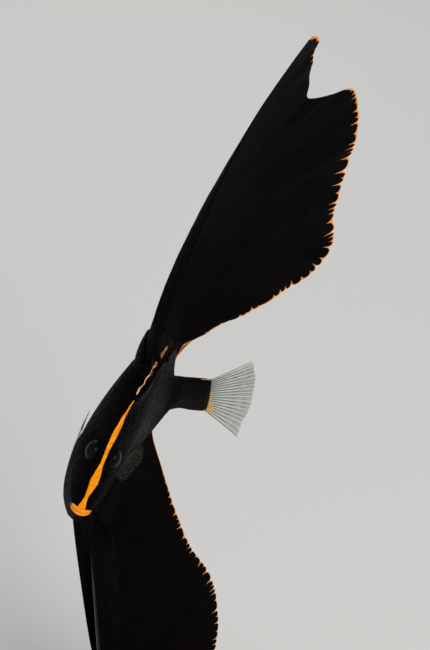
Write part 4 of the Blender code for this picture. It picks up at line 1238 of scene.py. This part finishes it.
def build_pectoral_fin(side, way, looks):
    """A see-through breast fin behind the gill cover, and its rays."""
    flat, out, ray = fan(PECTORAL_GRID, PECTORAL_LENGTH + FAN_SUNK, PECTORAL_SPREAD, PECTORAL_ROOT_HALF,
                         PECTORAL_ROUND)
    away = math.radians(PECTORAL_OUT)
    x0, z0 = PECTORAL_ROOT
    z = z0 + flat[..., 1] - math.tan(math.radians(PECTORAL_DROOP)) * flat[..., 0]
    top, bottom, _ = body_edges(x0)
    v = (2 * z[0] - top - bottom) / (top - bottom)
    wall = skin_point(np.full(len(v), x0), v, 1)[:, 1] - PECTORAL_SUNK
    x = x0 + flat[..., 0] * math.cos(away)
    y = way * (wall + flat[..., 0] * math.sin(away) + ripple("pectoral", ray))
    across = (-way * math.sin(away), math.cos(away), 0.0)
    middle = np.stack([x, y, z], axis=-1)
    build_fin("pectoral_fin_" + side, "pectoral", middle, out, PECTORAL_GRID, {"ray": ray}, looks, across)


def tube_along(name, path, radii, layers, around):
    """A closed tube round a straight-fish path, with its own height and depth at each point."""
    tangent = unit(np.gradient(path, axis=0))
    beside = unit(np.stack([-tangent[:, 1], tangent[:, 0], np.zeros(len(path))], axis=1))
    turn = np.linspace(0, 2 * np.pi, around, endpoint=False)
    rings = (path[:, None] + np.cos(turn)[None, :, None] * beside[:, None] * radii[:, :1, None]
             + np.sin(turn)[None, :, None] * np.array([0.0, 0.0, 1.0]) * radii[:, 1:, None])
    count = len(path)
    fish = np.concatenate([rings.reshape(-1, 3), path[:1], path[-1:]])
    faces = ring_faces(count, around)
    for j in range(around):
        faces += [(count * around, (j + 1) % around, j),
                  (count * around + 1, (count - 1) * around + j, (count - 1) * around + (j + 1) % around)]
    carried = {key: np.concatenate([np.repeat(value, around, axis=0), value[:1], value[-1:]])
               for key, value in layers.items()}
    return face_out(mesh_of(name, place(fish), faces, fish=fish, **carried))


def build_lip(name, way, finish):
    """A fleshy lip from one corner of the mouth to the other, where it sinks into the snout."""
    across = np.linspace(-LIP_REACH, LIP_REACH, LIP_POINTS)
    bow = 1 - across**2
    x = HEAD_FRONT - LIP_AHEAD - LIP_BOW * bow + 0.010 * np.clip(np.abs(across) - 0.95, 0, None)
    z = way * LIP_RADIUS * LIP_RISE / LENGTH * (1 - LIP_DIP * np.clip(np.abs(across), 0, 1) ** 3)
    path = np.stack([x, LIP_WIDTH / 2 * across, z], axis=1)
    taper = LIP_END + (1 - LIP_END) * np.clip(bow, 0, 1)
    taper *= np.clip((1.16 - np.abs(across)) / 0.22, 0.12, 1) ** 0.5
    radii = LIP_RADIUS / LENGTH * np.stack([taper, taper * LIP_ROUND], axis=1)
    lip = np.stack([across, np.abs(across), np.zeros(len(across))], axis=1)
    flesh = tube_along(name + "_flesh", path, radii, {"lip": lip}, LIP_SIDES)
    finished(flesh, finish, (name,))


def build_eye(side, way, finish):
    """An eye, flat from side to side, with a raised cornea."""
    x, z = EYE_PLACE
    top, bottom = smooth(BACK, x), smooth(BELLY, x)
    v = abs((2 * z - top - bottom) / (top - bottom))
    wide = float(half_width(x, v)) + float(gill_relief(x, z))
    y = wide - EYE_SET * EYE_RADIUS * EYE_FLAT / LENGTH
    bm = bmesh.new()
    bmesh.ops.create_uvsphere(bm, u_segments=EYE_SIDES, v_segments=EYE_RINGS, radius=1.0)
    local = np.array([vert.co[:] for vert in bm.verts])
    local = local[:, [0, 2, 1]]
    for vert, at in zip(bm.verts, local):
        vert.co = at
    bmesh.ops.recalc_face_normals(bm, faces=bm.faces)
    mesh = bpy.data.meshes.new("eye_globe_" + side)
    bm.to_mesh(mesh)
    bm.free()
    off = np.hypot(local[:, 0], local[:, 2])
    front = np.clip(local[:, 1] * way, 0, 1)
    bulge = 1 + DOME_RISE * np.clip(1 - (off / DOME_REACH) ** 2, 0, 1) * (front > 0)
    matrix = frame_at((x, way * y, z))
    grown_out = local * (EYE_RADIUS, EYE_RADIUS * EYE_FLAT, EYE_RADIUS) * bulge[:, None]
    for vert, at in zip(mesh.vertices, grown_out):
        vert.co = matrix @ Vector(at)
    give(mesh, "eye", local)
    finished(face_out(mesh), finish, ("eye_" + side,))


def build_collar(finish):
    """A low turned collar round the foot of the rod."""
    joint = place((ROD_X, 0.0, float(smooth(BELLY, ROD_X))))
    lean = math.tan(math.radians(ROD_LEAN))
    points = []
    for radius, height in COLLAR:
        z = BASE_HEIGHT + height * ROD_RADIUS
        centre = joint[1] - lean * (joint[2] - z)
        for turn in np.linspace(0, 2 * np.pi, COLLAR_SIDES, endpoint=False):
            points.append((joint[0] + radius * ROD_RADIUS * math.cos(turn),
                           centre + radius * ROD_RADIUS * math.sin(turn), z))
    mesh = mesh_of("stand_collar", points, ring_faces(len(COLLAR), COLLAR_SIDES, closed=True))
    finished(face_out(mesh), finish)


def dress_stand(walnut, steel):
    """The base and the rod keep their solids and get their own finish."""
    for node, finish in (("stand_base", walnut), ("stand_rod", steel)):
        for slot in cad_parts[node].material_slots:
            slot.material = finish.material


def add_floor():
    """A wide plain pale floor."""
    corners = np.array([(-1, -1, 0), (1, -1, 0), (1, 1, 0), (-1, 1, 0)]) * FLOOR_SIZE
    mesh = mesh_of("floor", corners, [(0, 1, 2, 3)])
    plain = Finish("pale_floor", Roughness=0.9, Specular_IOR_Level=0.2, Base_Color=FLOOR_TONE)
    mesh.materials.append(plain.material)
    added("floor", mesh)


def add_light(name, at, size, power, tint):
    """A soft square light aimed at the model."""
    lamp = bpy.data.lights.new(name, "AREA")
    lamp.shape, lamp.size, lamp.energy, lamp.color = "SQUARE", size, power, tint
    piece = added(name, lamp)
    piece.location = at
    piece.rotation_euler = (Vector(LAMPS_AIM) - Vector(at)).to_track_quat("-Z", "Y").to_euler()


def add_camera():
    """The photograph's view."""
    turn, tilt, roll = (math.radians(angle) for angle in (CAMERA_AZIMUTH, CAMERA_ELEVATION, CAMERA_ROLL))
    back = Vector((math.sin(turn) * math.cos(tilt), -math.cos(turn) * math.cos(tilt), math.sin(tilt)))
    level = Vector((math.cos(turn), math.sin(turn), 0.0))
    upright = back.cross(level)
    right = level * math.cos(roll) + upright * math.sin(roll)
    top = upright * math.cos(roll) - level * math.sin(roll)
    lens = bpy.data.cameras.new("camera")
    lens.lens, lens.sensor_width = CAMERA_LENS, CAMERA_SENSOR
    lens.clip_start, lens.clip_end = 0.01, 20.0
    camera = added("camera", lens)
    camera.matrix_world = Matrix.Translation(CAMERA_AT) @ Matrix((right, top, back)).transposed().to_4x4()
    bpy.context.scene.camera = camera


def add_studio():
    """Floor, camera and soft light."""
    add_camera()
    add_floor()
    world = bpy.data.worlds.new("soft_room")
    world.use_nodes = True
    sky = world.node_tree.nodes["Background"]
    sky.inputs["Color"].default_value = ROOM_TINT
    sky.inputs["Strength"].default_value = ROOM_LIGHT
    bpy.context.scene.world = world
    bpy.context.scene.view_settings.view_transform = "Standard"
    for lamp in LAMPS:
        add_light(*lamp)


def build():
    """All pieces of the finished model."""
    skin, scales, fins, lips = velvet_skin(), scale_skin(), black_fin(), orange_lip()
    tree = ray_tree()
    black = (fins, fins, "fin_black", tree)
    clear, faint = ((clear_fin(f"clear_{fin}_fin", *web), clear_ray(f"{fin}_fin_ray", ray), "fin_clear", tree)
                    for fin, (web, ray) in (("tail", CAUDAL_BODY), ("breast", PECTORAL_BODY)))
    eyes, walnut, steel = wet_eye(), base_walnut(), black_steel()
    build_skin(skin)
    build_scales(scales)
    build_median_fin("dorsal", DORSAL_GRID, DORSAL_ROOT, DORSAL_MARGIN, BACK, 1, DORSAL_HEM, black)
    build_median_fin("anal", ANAL_GRID, ANAL_ROOT, ANAL_MARGIN, BELLY, -1, ANAL_HEM, black)
    build_caudal_fin(clear)
    for side, way in (("left", -1), ("right", 1)):
        build_pelvic_fin(side, way, black)
        build_pectoral_fin(side, way, faint)
        build_eye(side, way, eyes)
    for name, way in (("lip_upper", 1), ("lip_lower", -1)):
        build_lip(name, way, lips)
    build_collar(steel)
    dress_stand(walnut, steel)


add_studio()
build()
